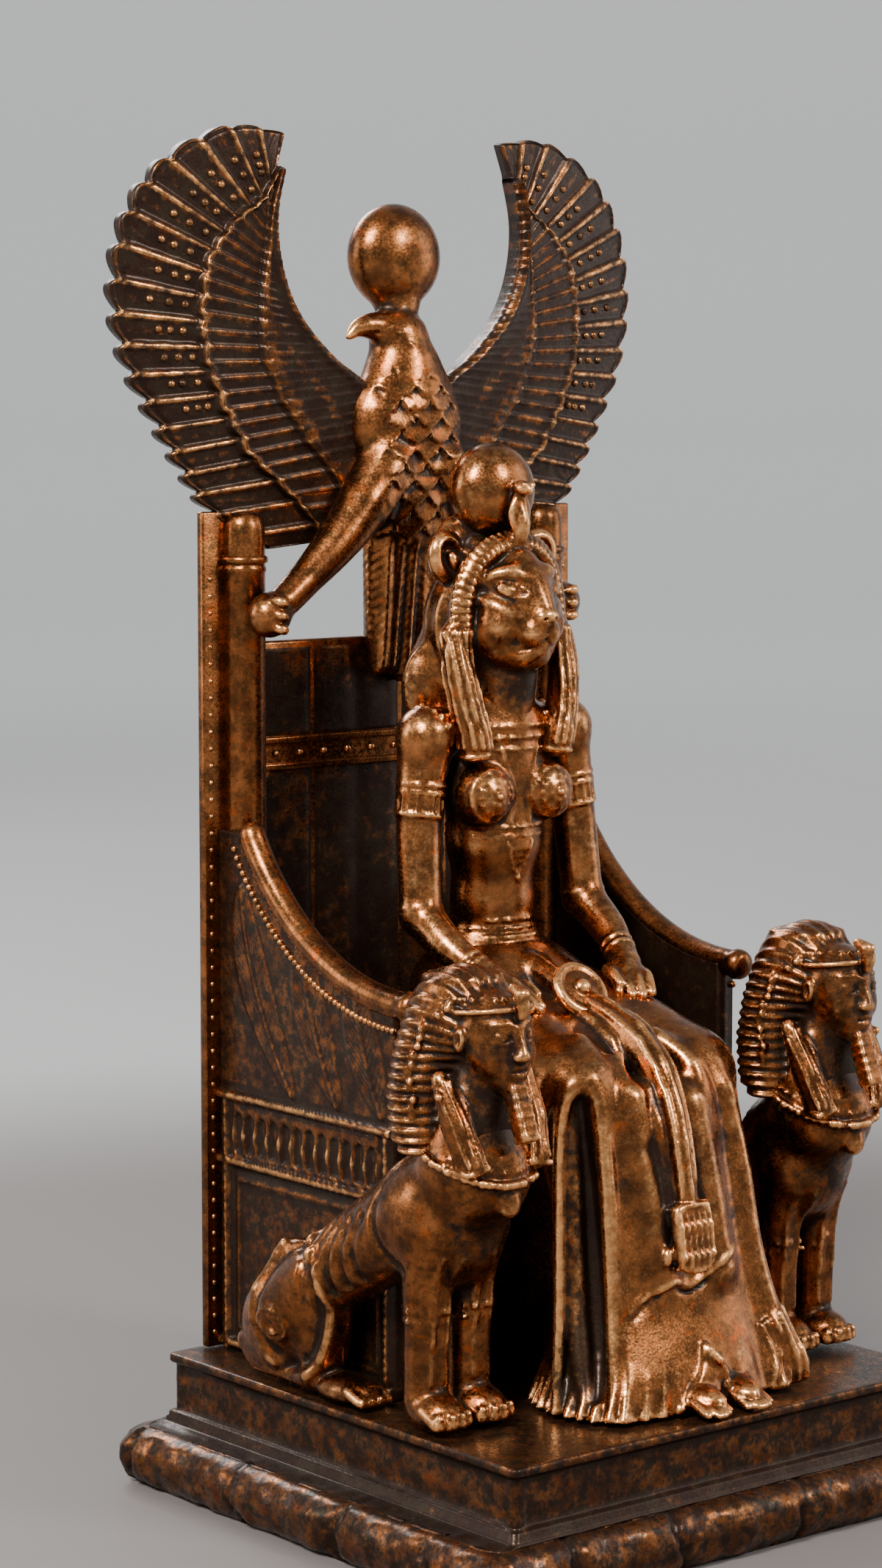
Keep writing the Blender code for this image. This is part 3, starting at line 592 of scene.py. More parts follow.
def plinth_rings():
    """Rings of points from the underside up to the dais, each point with its wear."""
    rings = []
    for share, inset in SLAB_PROFILE:
        half = (slab_half_x - inset, slab_half_y - inset, max(6.5 - 0.6 * inset, 3))
        z = share * SLAB_HEIGHT
        rings.append([slab_point(spot, way, z) for spot, way in level_ring(*half, RING_STEPS)])
    start = (slab_half_x - 5.2, slab_half_y - 5.2, 3.2)
    end = (DAIS_X + 1.6 * DAIS_LIP, DAIS_Y + 1.6 * DAIS_LIP, 1.5)
    for k in range(SLOPE_STEPS + 1):
        share = k / SLOPE_STEPS
        half = [a + (b - a) * share for a, b in zip(start, end)]
        z = SLAB_HEIGHT * (0.97 + 0.03 * share)
        rings.append([slope_point(spot, z, share) for spot, way in level_ring(*half, RING_STEPS)])
    for out, z in DAIS_PROFILE:
        grow = (out - 1) * DAIS_LIP
        half = (DAIS_X + grow, DAIS_Y + grow, 1.3)
        rings.append([dais_point(spot, way, z, out) for spot, way in level_ring(*half, RING_STEPS)])
    return rings


def make_plinth():
    """The rough slab of laid stones and the smooth dais with its lip, as one skin."""
    rings = plinth_rings()
    rows = len(rings)
    side = len(rings[0])
    made = [point for ring in rings for point in ring]
    index = np.arange(rows * side).reshape(rows, side)
    after = np.roll(index, -1, axis=1)
    quads = np.stack([index[:-1], after[:-1], after[1:], index[1:]], axis=-1).reshape(-1, 4)
    triangles = []
    for row, turn in ((0, -1), (rows - 1, 1)):
        centre = len(made)
        made.append(((0, 0, rings[row][0][0][2]), 0, 0.25))
        for a, b in zip(index[row], after[row]):
            triangles.append((a, b, centre)[::turn])
    points, edge, hollow_and_shade = [np.array(values) for values in zip(*made)]
    return mesh_object("stone_plinth", points * MM, triangles, quads, edge, hollow_and_shade)


# Throne


def arm_line(t):
    """The middle of an arm roll in YZ, from its front knob at 0 to the back column at 1."""
    y = front_y - arm_radius + (column_y - column_radius - front_y) * (1 - (1 - t) ** 1.15)
    z = arm_front + (arm_top - arm_front) * t ** 2.1
    return y, z


def bevelled_box(shape, low, high, width=0.35):
    """Add a box in millimetres with softened edges."""
    low = Vector(low)
    high = Vector(high)
    size = high - low
    matrix = Matrix.Translation((low + high) / 2) @ Matrix.Diagonal((*size, 1))
    made = bmesh.ops.create_cube(shape, size=1, matrix=matrix)["verts"]
    edges = list({e for v in made for e in v.link_edges})
    bmesh.ops.bevel(shape, geom=edges, offset=min(width, 0.3 * min(size)), segments=2,
                    affect="EDGES", profile=0.5)


def turned_piece(shape, centre, profile, sides=40):
    """Add an upright turned solid from (radius, level) pairs, bottom to top."""
    rings = []
    for radius, z in profile:
        rings.append([shape.verts.new((centre[0] + radius * cos(a), centre[1] + radius * sin(a), z))
                      for a in angles(sides + 1)[:-1]])
    loft(shape, rings)
    shape.faces.new(reversed(rings[0]))
    shape.faces.new(rings[-1])


def pearl(shape, centre, radius, segments=10, rings=6):
    """Add a small ball, worn bright."""
    matrix = Matrix.Translation(centre) @ Matrix.Diagonal((radius, radius, radius, 1))
    made = bmesh.ops.create_uvsphere(shape, u_segments=segments, v_segments=rings, radius=1,
                                     matrix=matrix)["verts"]
    for vert in made:
        vert[shape.verts.layers.float["edge"]] = 0.6


def board_face(shape, low, high, front):
    """Add the back board's face between two corners in XZ, with its upright planks and painted shade
    over it.
    """
    across = 46
    up = 40
    rows = []
    for j in range(up + 1):
        z = low[1] + (high[1] - low[1]) * j / up
        row = []
        for i in range(across + 1):
            x = low[0] + (high[0] - low[0]) * i / across
            rim = min(x - low[0], high[0] - x, z - low[1], high[1] - z)
            groove = exp(-(((x + 60) % 11.2 - 5.6) / 0.8) ** 2)
            y = front if rim < 0.3 else front - 0.25 - 0.1 * fractal(x, 0, z, 7) + 0.4 * groove
            vert = shape.verts.new((x, min(y, front + 0.1), z))
            # Painted shade over the whole face, with darker wash in the grooves between planks
            vert[shape.verts.layers.float["hollow_and_shade"]] = 0.42 + 0.25 * fractal(x, 3, z, 12) + 0.3 * groove
            row.append(vert)
        rows.append(row)
    for lower, upper in zip(rows, rows[1:]):
        for i in range(across):
            shape.faces.new((lower[i], lower[i + 1], upper[i + 1], upper[i]))


def roll(shape, path, sizes, sides=20):
    """Add a round roll along a path in a YZ plane, closed at both ends."""
    across = Vector((1, 0, 0))
    rings = []
    for k, (point, size) in enumerate(zip(path, sizes)):
        along = (path[min(k + 1, len(path) - 1)] - path[max(k - 1, 0)]).normalized()
        up = across.cross(along)
        rings.append([shape.verts.new(point + (across * cos(a) + up * sin(a)) * size)
                      for a in angles(sides + 1)[:0:-1]])
    loft(shape, rings)
    shape.faces.new(reversed(rings[0]))
    shape.faces.new(rings[-1])


def column(shape, side):
    """Add one column with its ring and round top, the board's outer strip and the strip's pearls."""
    low, high = sorted((side * (column_x - 0.8), side * 47))
    bevelled_box(shape, (low, board_y + 0.24, base_level), (high, back_y - 0.12, post_top), 0.4)
    r = column_radius
    ring = post_top - 10.2
    profile = [(r * 1.12, base_level), (r * 1.12, base_level + 2.2), (r, base_level + 3)]
    profile += [(r, ring - 1.6), (r * 1.05, ring - 1.3), (r * 1.05, ring - 0.7), (r, ring - 0.4)]
    profile += [(r, ring), (r * 1.12, ring + 0.35), (r * 1.14, ring + 0.85), (r * 1.12, ring + 1.3)]
    profile += [(r, ring + 1.7), (r, post_top - 4.4), (r * 0.97, post_top - 2.6)]
    profile += [(r * 0.86, post_top - 1.2), (r * 0.62, post_top - 0.3), (r * 0.3, post_top)]
    turned_piece(shape, (side * column_x, column_y), profile)
    pearls = 46
    for k in range(pearls):
        z = base_level + 3 + k * (post_top - base_level - 16) / (pearls - 1)
        pearl(shape, (side * 45.3, board_y + 0.35, z), 0.55, 8, 5)


def swept_arm(shape, side):
    """Add one arm roll with its round front knob, and the row of pearls under it."""
    steps = 44
    sweep = [Vector((side * (side_plane - 2.7), *arm_line(k / steps))) for k in range(steps + 1)]
    first = (sweep[0] - sweep[1]).normalized()
    last = (sweep[-1] - sweep[-2]).normalized()
    path = [sweep[0] + first * arm_radius * d for d in (1.0, 0.9, 0.7, 0.4)]
    path += sweep + [sweep[-1] + last * d for d in (1.2, 2.0)]
    sizes = [0.9, 1.9, 2.6, 3.0, 3.1, 2.45] + [arm_radius] * (steps - 1) + [2.2, 1.2]
    roll(shape, path, sizes)
    for k in range(2, steps):
        y, z = arm_line(k / steps)
        ahead = arm_line((k + 1) / steps)
        way = Vector((0, ahead[0] - y, ahead[1] - z)).normalized()
        off = Vector((0, way.z, -way.y)) * 4.6
        pearl(shape, Vector((side * panel_plane, y, z)) + off, 0.72, 8, 5)


def back_bars(shape):
    """Add the level and upright bars and the row of pearls on the throne's back."""
    for level in (34, 132, 154):
        bevelled_box(shape, (-35, back_y - 0.4, level), (35, back_y + 0.5, level + 4), 0.3)
    for side in SIDES:
        low, high = sorted((side * 31, side * 34.6))
        bevelled_box(shape, (low, back_y - 0.4, 38.4), (high, back_y + 0.4, 131.6), 0.3)
    for k in range(21):
        pearl(shape, (-30 + 3 * k, back_y + 0.1, 145), 0.9)


def make_frame():
    """Seat block, back board with its bars, columns with ring and knob, and the arm rolls."""
    shape = bmesh.new()
    shape.verts.layers.float.new("edge")
    shape.verts.layers.float.new("hollow_and_shade")
    board_top = 164.3
    inside = side_plane - 5.4 + 0.3
    board_face(shape, (-34, seat_top), (34, 138.7), board_y)
    board_face(shape, (-34, 145.5), (34, board_top - 1.5), board_y)
    bevelled_box(shape, (-inside, front_y + 0.66, base_level), (inside, board_y + 0.8, seat_top), 0.5)
    bevelled_box(shape, (-column_x, board_y, base_level), (column_x, back_y, board_top), 0.6)
    for low, high in ((138.75, 140.15), (144.0, 145.4)):
        bevelled_box(shape, (-column_x, board_y - 1.2, low), (column_x, board_y + 1, high), 0.3)
    for k in range(11):
        pearl(shape, (-30 + 6 * k, board_y - 0.1, 142.1), 0.75)
    for side in SIDES:
        column(shape, side)
        swept_arm(shape, side)
    back_bars(shape)
    bmesh.ops.scale(shape, vec=(MM, MM, MM), verts=shape.verts)
    mesh = bpy.data.meshes.new("throne_frame")
    shape.to_mesh(mesh)
    shape.free()
    mesh.shade_smooth()
    mesh.set_sharp_from_angle(angle=radians(50))
    return linked("throne_frame", mesh)


def bump_at(off, width):
    """A smooth bump: 1 on the line, falling to nothing about two widths away."""
    return np.exp(-(off / width) ** 2)


def panel_relief(y, z):
    """Raised work of a side panel over its sunk ground: rails, stiles, niches and plumes."""
    rise = np.zeros_like(z)
    front = front_y

    def rail(level, width=2.0, height=1.0):
        off = np.abs(z - level - 0.5 * width)
        return np.clip((0.5 * width - off) / 0.35, 0, 1) * height + 0.25 * bump_at(off, 0.4)

    def stile(place, width=2.0, height=1.0):
        off = np.abs(y - place - 0.5 * width)
        return np.clip((0.5 * width - off) / 0.35, 0, 1) * height

    for level in (frieze_top, frieze_bottom, base_level + 0.3):
        rise = np.maximum(rise, rail(level))
    below = z < frieze_top + 1
    for place in (front + 0.5, board_y - 3.2):
        rise = np.maximum(rise, stile(place) * below)
        line = bump_at(y - place - 1, 0.45) * (np.sin(z * 2 * pi / 1.9) * 0.5 + 0.5)
        rise += 0.35 * line * below
    # Niches: small arches between beads in the frieze
    run = board_y - front_y - 8
    pitch = run / 12
    place = (y - front_y - 4) / pitch
    inside = (place > 0) & (place < 12) & (z > frieze_bottom + 2) & (z < frieze_top)
    off = (place - np.floor(place) - 0.5) * pitch
    crown = frieze_top - 2.4
    arch = np.hypot(off, np.maximum(z - crown + 1.2, 0))
    hole = np.clip((0.34 * pitch - np.where(z < crown - 1.2, np.abs(off), arch)) / 0.3, 0, 1)
    hole *= np.clip((z - frieze_bottom - 3) / 0.3, 0, 1)
    rise = np.where(inside, 0.55 - 1.5 * hole, rise)
    bead = np.exp(-((np.abs(off) - 0.5 * pitch) ** 2 + (z - frieze_bottom - 6.5) ** 2 * 0.12) / 0.3)
    rise += np.where(inside, 0.6 * bead, 0)
    # Lower field: an inner frame and a plain sunk ground
    low_field = (z > base_level + 2.3) & (z < frieze_bottom) & (y > front + 2.6) & (y < board_y - 3.2)
    edge = np.minimum(np.minimum(z - base_level - 2.3, frieze_bottom - z),
                      np.minimum(y - front - 2.6, board_y - 3.2 - y))
    rise += np.where(low_field, 0.5 * bump_at(edge - 2.4, 0.5), 0)
    # Upper field: three long plumes that sweep up and back, with their barbs
    upper = np.clip((z - frieze_top - 2.6) / 0.8, 0, 1)
    for k, (foot, lean) in enumerate(((-1.5, 0.55), (12, 0.62), (26, 0.75))):
        lift = z - (frieze_top + 3)
        spine = foot + lean * lift - 0.0085 * lift ** 2
        off = y - spine
        half = 5.4 * np.sin(np.clip(lift / (26 + 7 * k), 0, 1) * pi) ** 0.6 + 0.3
        leaf = np.clip((half - np.abs(off)) / 0.6, 0, 1)
        barbs = np.sin((lift - 1.3 * np.abs(off)) * 2 * pi / 1.7)
        body = leaf * (0.22 + 0.06 * barbs) + 0.3 * bump_at(off, 0.45) * (half > 0.6)
        rise = np.maximum(rise, body * upper)
    return rise


def make_panel():
    """The left side of the throne as a fine relief that closes into a slab."""
    across = 118
    up = 210
    inner = side_plane - 5.4
    y = np.linspace(front_y, board_y + 1.2, across)[:, None] * np.ones((1, up))
    arm = np.array([arm_line(k / 200) for k in range(201)])
    top = np.interp(y[:, 0], arm[:, 0], arm[:, 1])
    share = np.linspace(0, 1, up)[None, :]
    z = base_level + share * (top[:, None] - base_level)
    x = panel_plane - 0.05 + np.clip(panel_relief(y, z), -1.2, 1.15)
    x[0, :] = np.minimum(x[0, :], panel_plane)
    points, quads = closed_slab(np.stack([x, y, z], axis=-1),
                                np.stack([np.full_like(x, inner), y, z], axis=-1))
    soft = (np.roll(x, 2, 0) + np.roll(x, -2, 0) + np.roll(x, 3, 1) + np.roll(x, -3, 1)) / 4
    lift = np.clip((x - soft) * 2.2, -1, 1).ravel()
    ground = np.clip((panel_plane + 0.35 - x.ravel()) * 0.35, 0, 0.3)
    edge = np.concatenate([np.clip(lift, 0, 1), np.zeros(x.size)])
    hollow_and_shade = np.concatenate([np.clip(-lift, 0, 1) + ground, np.full(x.size, 0.3)])
    return mesh_object("throne_side_left", points * MM, (), quads, edge, np.clip(hollow_and_shade, 0, 1))


# Falcon and wings


def falcon_leg(clay, side):
    """Half of the tail's end, and a leg with its claws round the top of a column."""
    clay.tube(((side * 4.6, 46.8, 185.7), (side * 4.8, 47.2, 172), (side * 4.6, 47.8, 159.7)),
              (4.3, 3.8, 3.2), 1.2)
    leg = [(side * x, y, z - 0.3) for x, y, z in
           ((7, 43.5, 199), (13, 42.6, 191), (20, 41.8, 184), (28, 41.6, 177), (34.5, 41.4, 172))]
    clay.tube(leg, (5.4, 5.4, 4.4, 3.4, 3.2), 2)
    clay.ball((side * 37.2, 41.2, 170.0), (4.4, 4.3, 4.4), melt=1.2)
    for turn in (-1, 0, 1):
        toe = [(side * (37.2 + 1.2 * a), 41.2 - 4.4 * cos(a * 0.9), 170 + 2.6 * turn + 0.4 * a)
               for a in (-1.2, -0.4, 0.4, 1.2)]
        clay.tube(toe, (0.7, 1.0, 1.0, 0.6), 0.35, 3)


def falcon_eye(clay, side):
    """An eye with its lid, and the mark below it."""
    y = 46.5 + side * 12
    lid = [(-4.6 + 1.3 * cos(a), y, 225.2 + 0.8 * sin(a)) for a in angles(11)]
    clay.cord(lid, (0, -side, 0), 0.3, 0.2, 1)
    clay.beads([(-4.6, y, 225.2)], (0, -side, 0), 0.5)
    clay.cord([(-4 + 0.9 * k, y, 223.6 - 0.7 * k) for k in range(4)], (0, -side, 0), 0.35)


def breast_scales(x, y, z):
    """Shingled scales, each thickest at its round lower rim."""
    row = (z - 178) / 3.1
    k = np.floor(row)
    v = row - k

    def across(shift):
        u = (x + shift + 70) / 6.4
        return u - np.floor(u) - 0.5

    odd = np.where(k % 2 == 0, 0.0, 3.2)
    here = v - 0.95 * (1 - np.sqrt(1 - (1.96 * across(odd)) ** 2))
    below = 1 + v - 0.95 * (1 - np.sqrt(1 - (1.96 * across(3.2 - odd)) ** 2))
    since = np.where(here > 0, here, below)
    fade = np.clip((218 - z) / 4, 0, 1) * np.clip((z - 181) / 4, 0, 1)
    side = np.clip((11.5 - np.abs(x)) / 3, 0, 1) * (y < 46)
    return (0.95 * (1 - since / 1.5) - 0.25) * fade * side


def tail_feathers(x, y, z):
    """Long grooves down the tail and its barbs."""
    down = np.clip((185 - z) / 3, 0, 1)
    quill = np.cos(x * 2 * pi / 3.1)
    barb = np.cos((z + 0.9 * np.abs(x)) * 2 * pi / 1.9)
    return down * (0.28 * quill + 0.08 * barb)


def make_falcon():
    """The falcon with its sun disc, scaled breast, tail, and legs that grip the columns."""
    clay = Clay((-44, 30, 150), (44, 58, 252), 0.5)
    clay.ball((0, 46, 206.7), (13.5, 7.6, 12), melt=2)
    clay.ball((0, 46, 193.7), (11.5, 6.8, 13), melt=2)
    clay.ball((0, 46, 215.7), (8.7, 6.6, 8), melt=3)
    # Neck, and the head with its beak turned to the goddess's right
    clay.tube(((0.6, 46.3, 212), (0.2, 46.4, 218), (-0.6, 46.5, 223)), (7.4, 6.6, 5.6), 2.5)
    clay.ball((-1, 46.5, 224.2), (5.9, 5.2, 5.0), melt=1.5)
    clay.tube(((-4.6, 46.5, 225.6), (-8.2, 46.5, 225.9), (-11.2, 46.5, 225.4), (-13.6, 46.5, 223.6)),
              (3.4, 2.5, 1.7, 0.6), 1.2)
    # Disc on its stand, and the middle of the tail
    clay.ball((0, 49, 239.7), (10.5, 7, 10.5), melt=0.6)
    clay.ball((0, 48, 229.9), (4.8, 4, 3.2), melt=1.6)
    clay.tube(((0, 46.5, 184.7), (0, 47.2, 171.7), (0, 47.4, 157.7)), (5.0, 4.0, 2.6), 2)
    for side in SIDES:
        falcon_leg(clay, side)
        falcon_eye(clay, side)
    mouth = [(-7.5 - 1.3 * k, 30, 224.6 - 0.16 * k * k) for k in range(4)]
    clay.cord(mouth, (0, 1, 0), 0.22, 0.2, 3, True)
    clay.relief((-15, 36, 180), (15, 48, 219), breast_scales)
    clay.relief((-10, 38, 152), (10, 56, 186), tail_feathers)
    return clay.skin("falcon", 0.01)


# One wing. ROOT and TIP are the inner and outer edge in XZ, from the top feather to the lowest. The
# steps are the shares of a feather's length where the first and second row end, from top to lowest.
# LAYERS are the wing's thicknesses from the root to the tip.
FEATHERS = 19
WING_ROOT = ((-30.2, 256), (-32, 248), (-31.7, 240.5), (-29.5, 233), (-25.5, 226.6),
             (-18.3, 219.9), (-9.5, 213.9), (-7.5, 206), (-7.5, 195), (-13, 184.5))
WING_TIP = ((-27.4, 263.5), (-40.7, 264.4), (-55.4, 257.5), (-63.9, 246.3), (-66.6, 232.3),
            (-64.4, 219.4), (-58.7, 208.2), (-52.7, 198.6), (-46.2, 190.4), (-32.5, 182.6))
FIRST_STEP = (0.05, 0.05, 0.06, 0.13, 0.22, 0.34, 0.42, 0.36, 0.2, 0.1)
SECOND_STEP = (0.1, 0.16, 0.34, 0.47, 0.54, 0.62, 0.68, 0.66, 0.5, 0.3)
LAYERS = (6.4, 5.6, 4.8, 4.5, 3.5, 2.9, 2.1)


def wing_quill(c):
    """How far a feather's blade stands up at c, from its raised leading edge at 0 to the next."""
    blade = 0.55 * (1 - c) ** 1.5
    ridge = 0.42 * np.exp(-((c - 0.13) / 0.065) ** 2)
    return blade + ridge - 0.4


def make_wing():
    """The raised wing at the goddess's right: three overlapping rows of feathers."""
    fine = 12
    columns = FEATHERS * fine + 1
    t = np.linspace(0, 1, columns)
    c = (t * FEATHERS) % 1
    root = sampled([(x, 0, z) for x, z in WING_ROOT], 1, 60)[0][:, (0, 2)]
    tip = sampled([(x, 0, z) for x, z in WING_TIP], 1, 60)[0][:, (0, 2)]
    place = np.linspace(0, 1, len(root))
    root = np.stack([np.interp(t, place, root[:, k]) for k in (0, 1)], axis=-1)
    tip = np.stack([np.interp(t, place, tip[:, k]) for k in (0, 1)], axis=-1)
    nine = np.linspace(0, 1, len(FIRST_STEP))
    # Each row's border runs in small scallops, one to a feather
    scallop = 0.018 * (1 - np.abs(2 * c - 1) ** 2)
    first = np.interp(t, nine, FIRST_STEP)
    second = np.interp(t, nine, SECOND_STEP) + scallop - 0.01
    stops = ((np.zeros(columns), 0), (first, 9), (first + 0.02, 4), (second, 16),
             (second + 0.02, 4), (np.full(columns, 0.93), 22), (np.ones(columns), 7))
    reach = [np.zeros(columns)]
    thick = [np.full(columns, LAYERS[0])]
    for (start, _), (end, count), a, b in zip(stops, stops[1:], LAYERS, LAYERS[1:]):
        for k in range(1, count + 1):
            reach.append(start + (end - start) * k / count)
            thick.append(np.full(columns, a + (b - a) * k / count))
    reach = np.array(reach)
    thick = np.array(thick)
    # Each feather's tip is round at its upper corner and falls back below it
    notch = 1 - 0.055 * c ** 2.0 - 0.06 * (1 - c) ** 7
    notch[0] = 0.96
    notch[-1] = 0.96
    outer = np.clip((reach - 0.9) / 0.1, 0, 1)
    middle = (reach > second[None, :]) * np.clip((reach - second[None, :]) / 0.03, 0, 1)
    inner = (reach < first[None, :]) * 1.0
    halfway = (1 - middle) * (1 - inner)
    fine_c = (t * FEATHERS * 1.5) % 1
    quill = wing_quill(c)[None, :] * np.clip((1 - reach) / 0.03, 0.5, 1)
    small = 0.5 * wing_quill(fine_c)[None, :]
    lumps = 0.28 * wing_quill((t * FEATHERS * 2 + 0.5) % 1)[None, :] * np.cos(reach * 26) ** 2
    barbs = 0.05 * np.cos((reach * 60 + 4 * c[None, :]) * 2 * pi)
    thick = thick + quill * middle + small * halfway + lumps * inner + barbs * middle
    # Raised cords along the borders of the rows, a rim round each tip, and a rolled front edge
    thick = thick + 0.6 * np.exp(-((reach - second[None, :] + 0.006) / 0.011) ** 2)
    thick = thick + 0.4 * np.exp(-((reach - first[None, :] + 0.006) / 0.012) ** 2)
    thick = thick + 0.45 * np.exp(-((reach - 0.985) / 0.012) ** 2)
    thick = thick + 0.7 * np.exp(-(reach / 0.03) ** 2)
    reach = reach * (1 - outer) + outer * reach * notch
    x = root[None, :, 0] + (tip[:, 0] - root[:, 0])[None, :] * reach
    z = root[None, :, 1] + (tip[:, 1] - root[:, 1])[None, :] * reach - 0.3
    behind = 51.4 + 3.2 * (np.maximum(0, np.abs(x) - 30) / 36) ** 2
    front = behind - np.maximum(thick, 1.1)
    hind = behind - 0.5 * (0.5 + 0.5 * np.cos(2 * pi * c))[None, :] * np.clip(reach / 0.1, 0, 1)
    points, quads = closed_slab(np.stack([x, front, z], axis=-1), np.stack([x, hind, z], axis=-1))
    edge, hollow_and_shade = wing_masks(front, c)
    made = mesh_object("wing_right", points * MM, (), quads[:, ::-1], edge, hollow_and_shade)
    add_wing_dots(made, x, front, z, reach, second)
    return made


def wing_masks(front, c):
    """Wear masks from how a wing's front stands against its neighbourhood, and lines on its back."""
    rows, columns = front.shape
    pad = np.pad(front, 3, mode="edge")
    mean = sum(pad[3 + i:3 + i + rows, 3 + j:3 + j + columns]
               for i in (-3, 0, 3) for j in (-3, 0, 3)) / 9
    lift = (mean - front) * 2.2
    groove = np.tile(0.5 + 0.5 * np.cos(2 * pi * c), rows)
    edge = np.concatenate([np.clip(lift, 0, 1).ravel(), 0.4 * (1 - groove) ** 4])
    hollow_and_shade = np.concatenate([np.clip(0.16 - 0.9 * lift, 0, 1).ravel(), 0.1 + 0.5 * groove ** 4])
    edge[front.size - columns:front.size] = 0.9
    return edge, hollow_and_shade


def add_wing_dots(wing, x, front, z, reach, second):
    """Small domes between the quills of the outer row, as one mesh with the wing."""
    shape = bmesh.new()
    shape.from_mesh(wing.data)
    layers = [shape.verts.layers.float[key] for key in ("edge", "hollow_and_shade")]
    for feather in range(1, 13):
        column = int((feather + 0.58) * (x.shape[1] - 1) / FEATHERS)
        start = second[column]
        for k in range(3):
            share = start + (0.93 - start) * (0.2 + 0.2 * k + 0.035 * sin(2.3 * feather + k))
            row = int(np.abs(reach[:, column] - share).argmin())
            spot = Vector((x[row, column], front[row, column], z[row, column])) * MM
            matrix = Matrix.Translation(spot) @ Matrix.Diagonal((0.82 * MM, 0.7 * MM, 0.82 * MM, 1))
            made = bmesh.ops.create_icosphere(shape, subdivisions=2, radius=1, matrix=matrix)["verts"]
            for vert in made:
                vert[layers[0]] = 0.8
                for face in vert.link_faces:
                    face.smooth = True
    shape.to_mesh(wing.data)
    shape.free()


# Goddess


def ring_points(centre, radii, level, start, end, count):
    """Points on part of a level ellipse, by degrees from +X towards +Y."""
    return [(centre[0] + radii[0] * cos(a), centre[1] + radii[1] * sin(a), level)
            for a in angles(count, start, end)]


def inward(points, centre):
    """Level directions from points to an upright axis."""
    return [(centre[0] - p[0], centre[1] - p[1], 0.0) for p in points]


def make_face(clay):
    """The lioness's face: long flat bridge, soft muzzle, slanted eyes and cheek bars."""
    clay.ball((0, 14, 172), (9.0, 10.3, 10.2), melt=1.5)
    clay.tube(((0, 10.5, 179.5), (0, 7.0, 176.2), (0, 4.4, 172.6), (0, 2.9, 170.3)),
              (3.6, 3.1, 2.7, 2.3), 2.5)
    clay.tube(((0, 9, 168.5), (0, 5.6, 167.4)), (5.0, 3.7), 3)
    clay.ball((0, 7.2, 163.2), (3.6, 4.1, 2.7), (-8, 0, 0), 2.6)
    clay.ball((0, 1.8, 170.1), (2.5, 1.5, 1.35), (-20, 0, 0), 0.6)
    for side in SIDES:
        clay.ball((side * 6.2, 10.2, 168.4), (3.4, 4.6, 4.6), melt=2.2)
        clay.tube(((side * 7.6, 12.8, 166.5), (side * 5.4, 9.9, 163.5), (side * 2.4, 7.2, 162.2)),
                  (2.6, 2.3, 1.9), 2)
        clay.ball((side * 1.9, 4.3, 167.0), (2.3, 2.6, 2.3), (6, 0, side * 14), 1.3)
        # Cheek bar under the eye, brow, and the slanted eye between them
        clay.tube(((side * 8.8, 12.4, 173.4), (side * 7.3, 9.0, 172.0), (side * 5.4, 6.5, 170.8),
                   (side * 3.9, 5.0, 170.4)), (1.1, 1.6, 1.5, 1.1), 0.8)
        clay.tube(((side * 1.9, 7.0, 177.2), (side * 4.2, 7.3, 178.5), (side * 7.0, 9.6, 178.0),
                   (side * 8.6, 12.4, 176.2)), (0.9, 1.3, 1.1, 0.7), 2.0)
        clay.ball((side * 5.4, 7.4, 175.1), (2.4, 1.6, 1.35), (0, side * -16, side * 30), 0.2)
        lid = [(side * (5.2 + 2.3 * cos(a)), -4, 175.1 + 1.25 * sin(a) + 0.55 * cos(a))
               for a in angles(17)]
        clay.cord(lid, (0, 1, 0), 0.3, 0.3)
        # Round hollow ears
        clay.ball((side * 11.4, 19, 181.2), (4.5, 2.6, 5.2), (0, side * 25, side * -14), 1.0)
        clay.ball((side * 11.1, 16.3, 181.3), (3.1, 2.5, 3.9), (0, side * 25, side * -14), 0.5, True)
        clay.ball((side * 10.2, 17.9, 180.3), (1.2, 1.3, 2.2), (0, side * 25, 0), 0.8)
        # Whisker dots, mouth and nostrils
        for row in range(2):
            for k in range(3):
                dot = (side * (1.7 + 0.95 * k), -6, 167.6 - 1.0 * row - 0.15 * k)
                for spot in clay.land([dot], (0, 1, 0)):
                    clay.ball(spot, (0.22, 0.22, 0.22), melt=0.1, cut=True)
        mouth = [(side * x, -6, z) for x, z in ((0.1, 165.5), (1.2, 164.6), (2.5, 164.0), (3.8, 163.7),
                                                (4.3, 163.6))]
        clay.cord(mouth, (0, 1, 0), 0.26, 0.4, 4, True)
        clay.ball((side * 1.2, 0.95, 169.7), (0.55, 0.6, 0.35), (0, side * 25, 0), 0.25, True)
    for spot in clay.land([(0, -6, 168.9 - 0.6 * k) for k in range(6)], (0, 1, 0)):
        clay.ball(spot, (0.3, 0.35, 0.4), melt=0.2, cut=True)


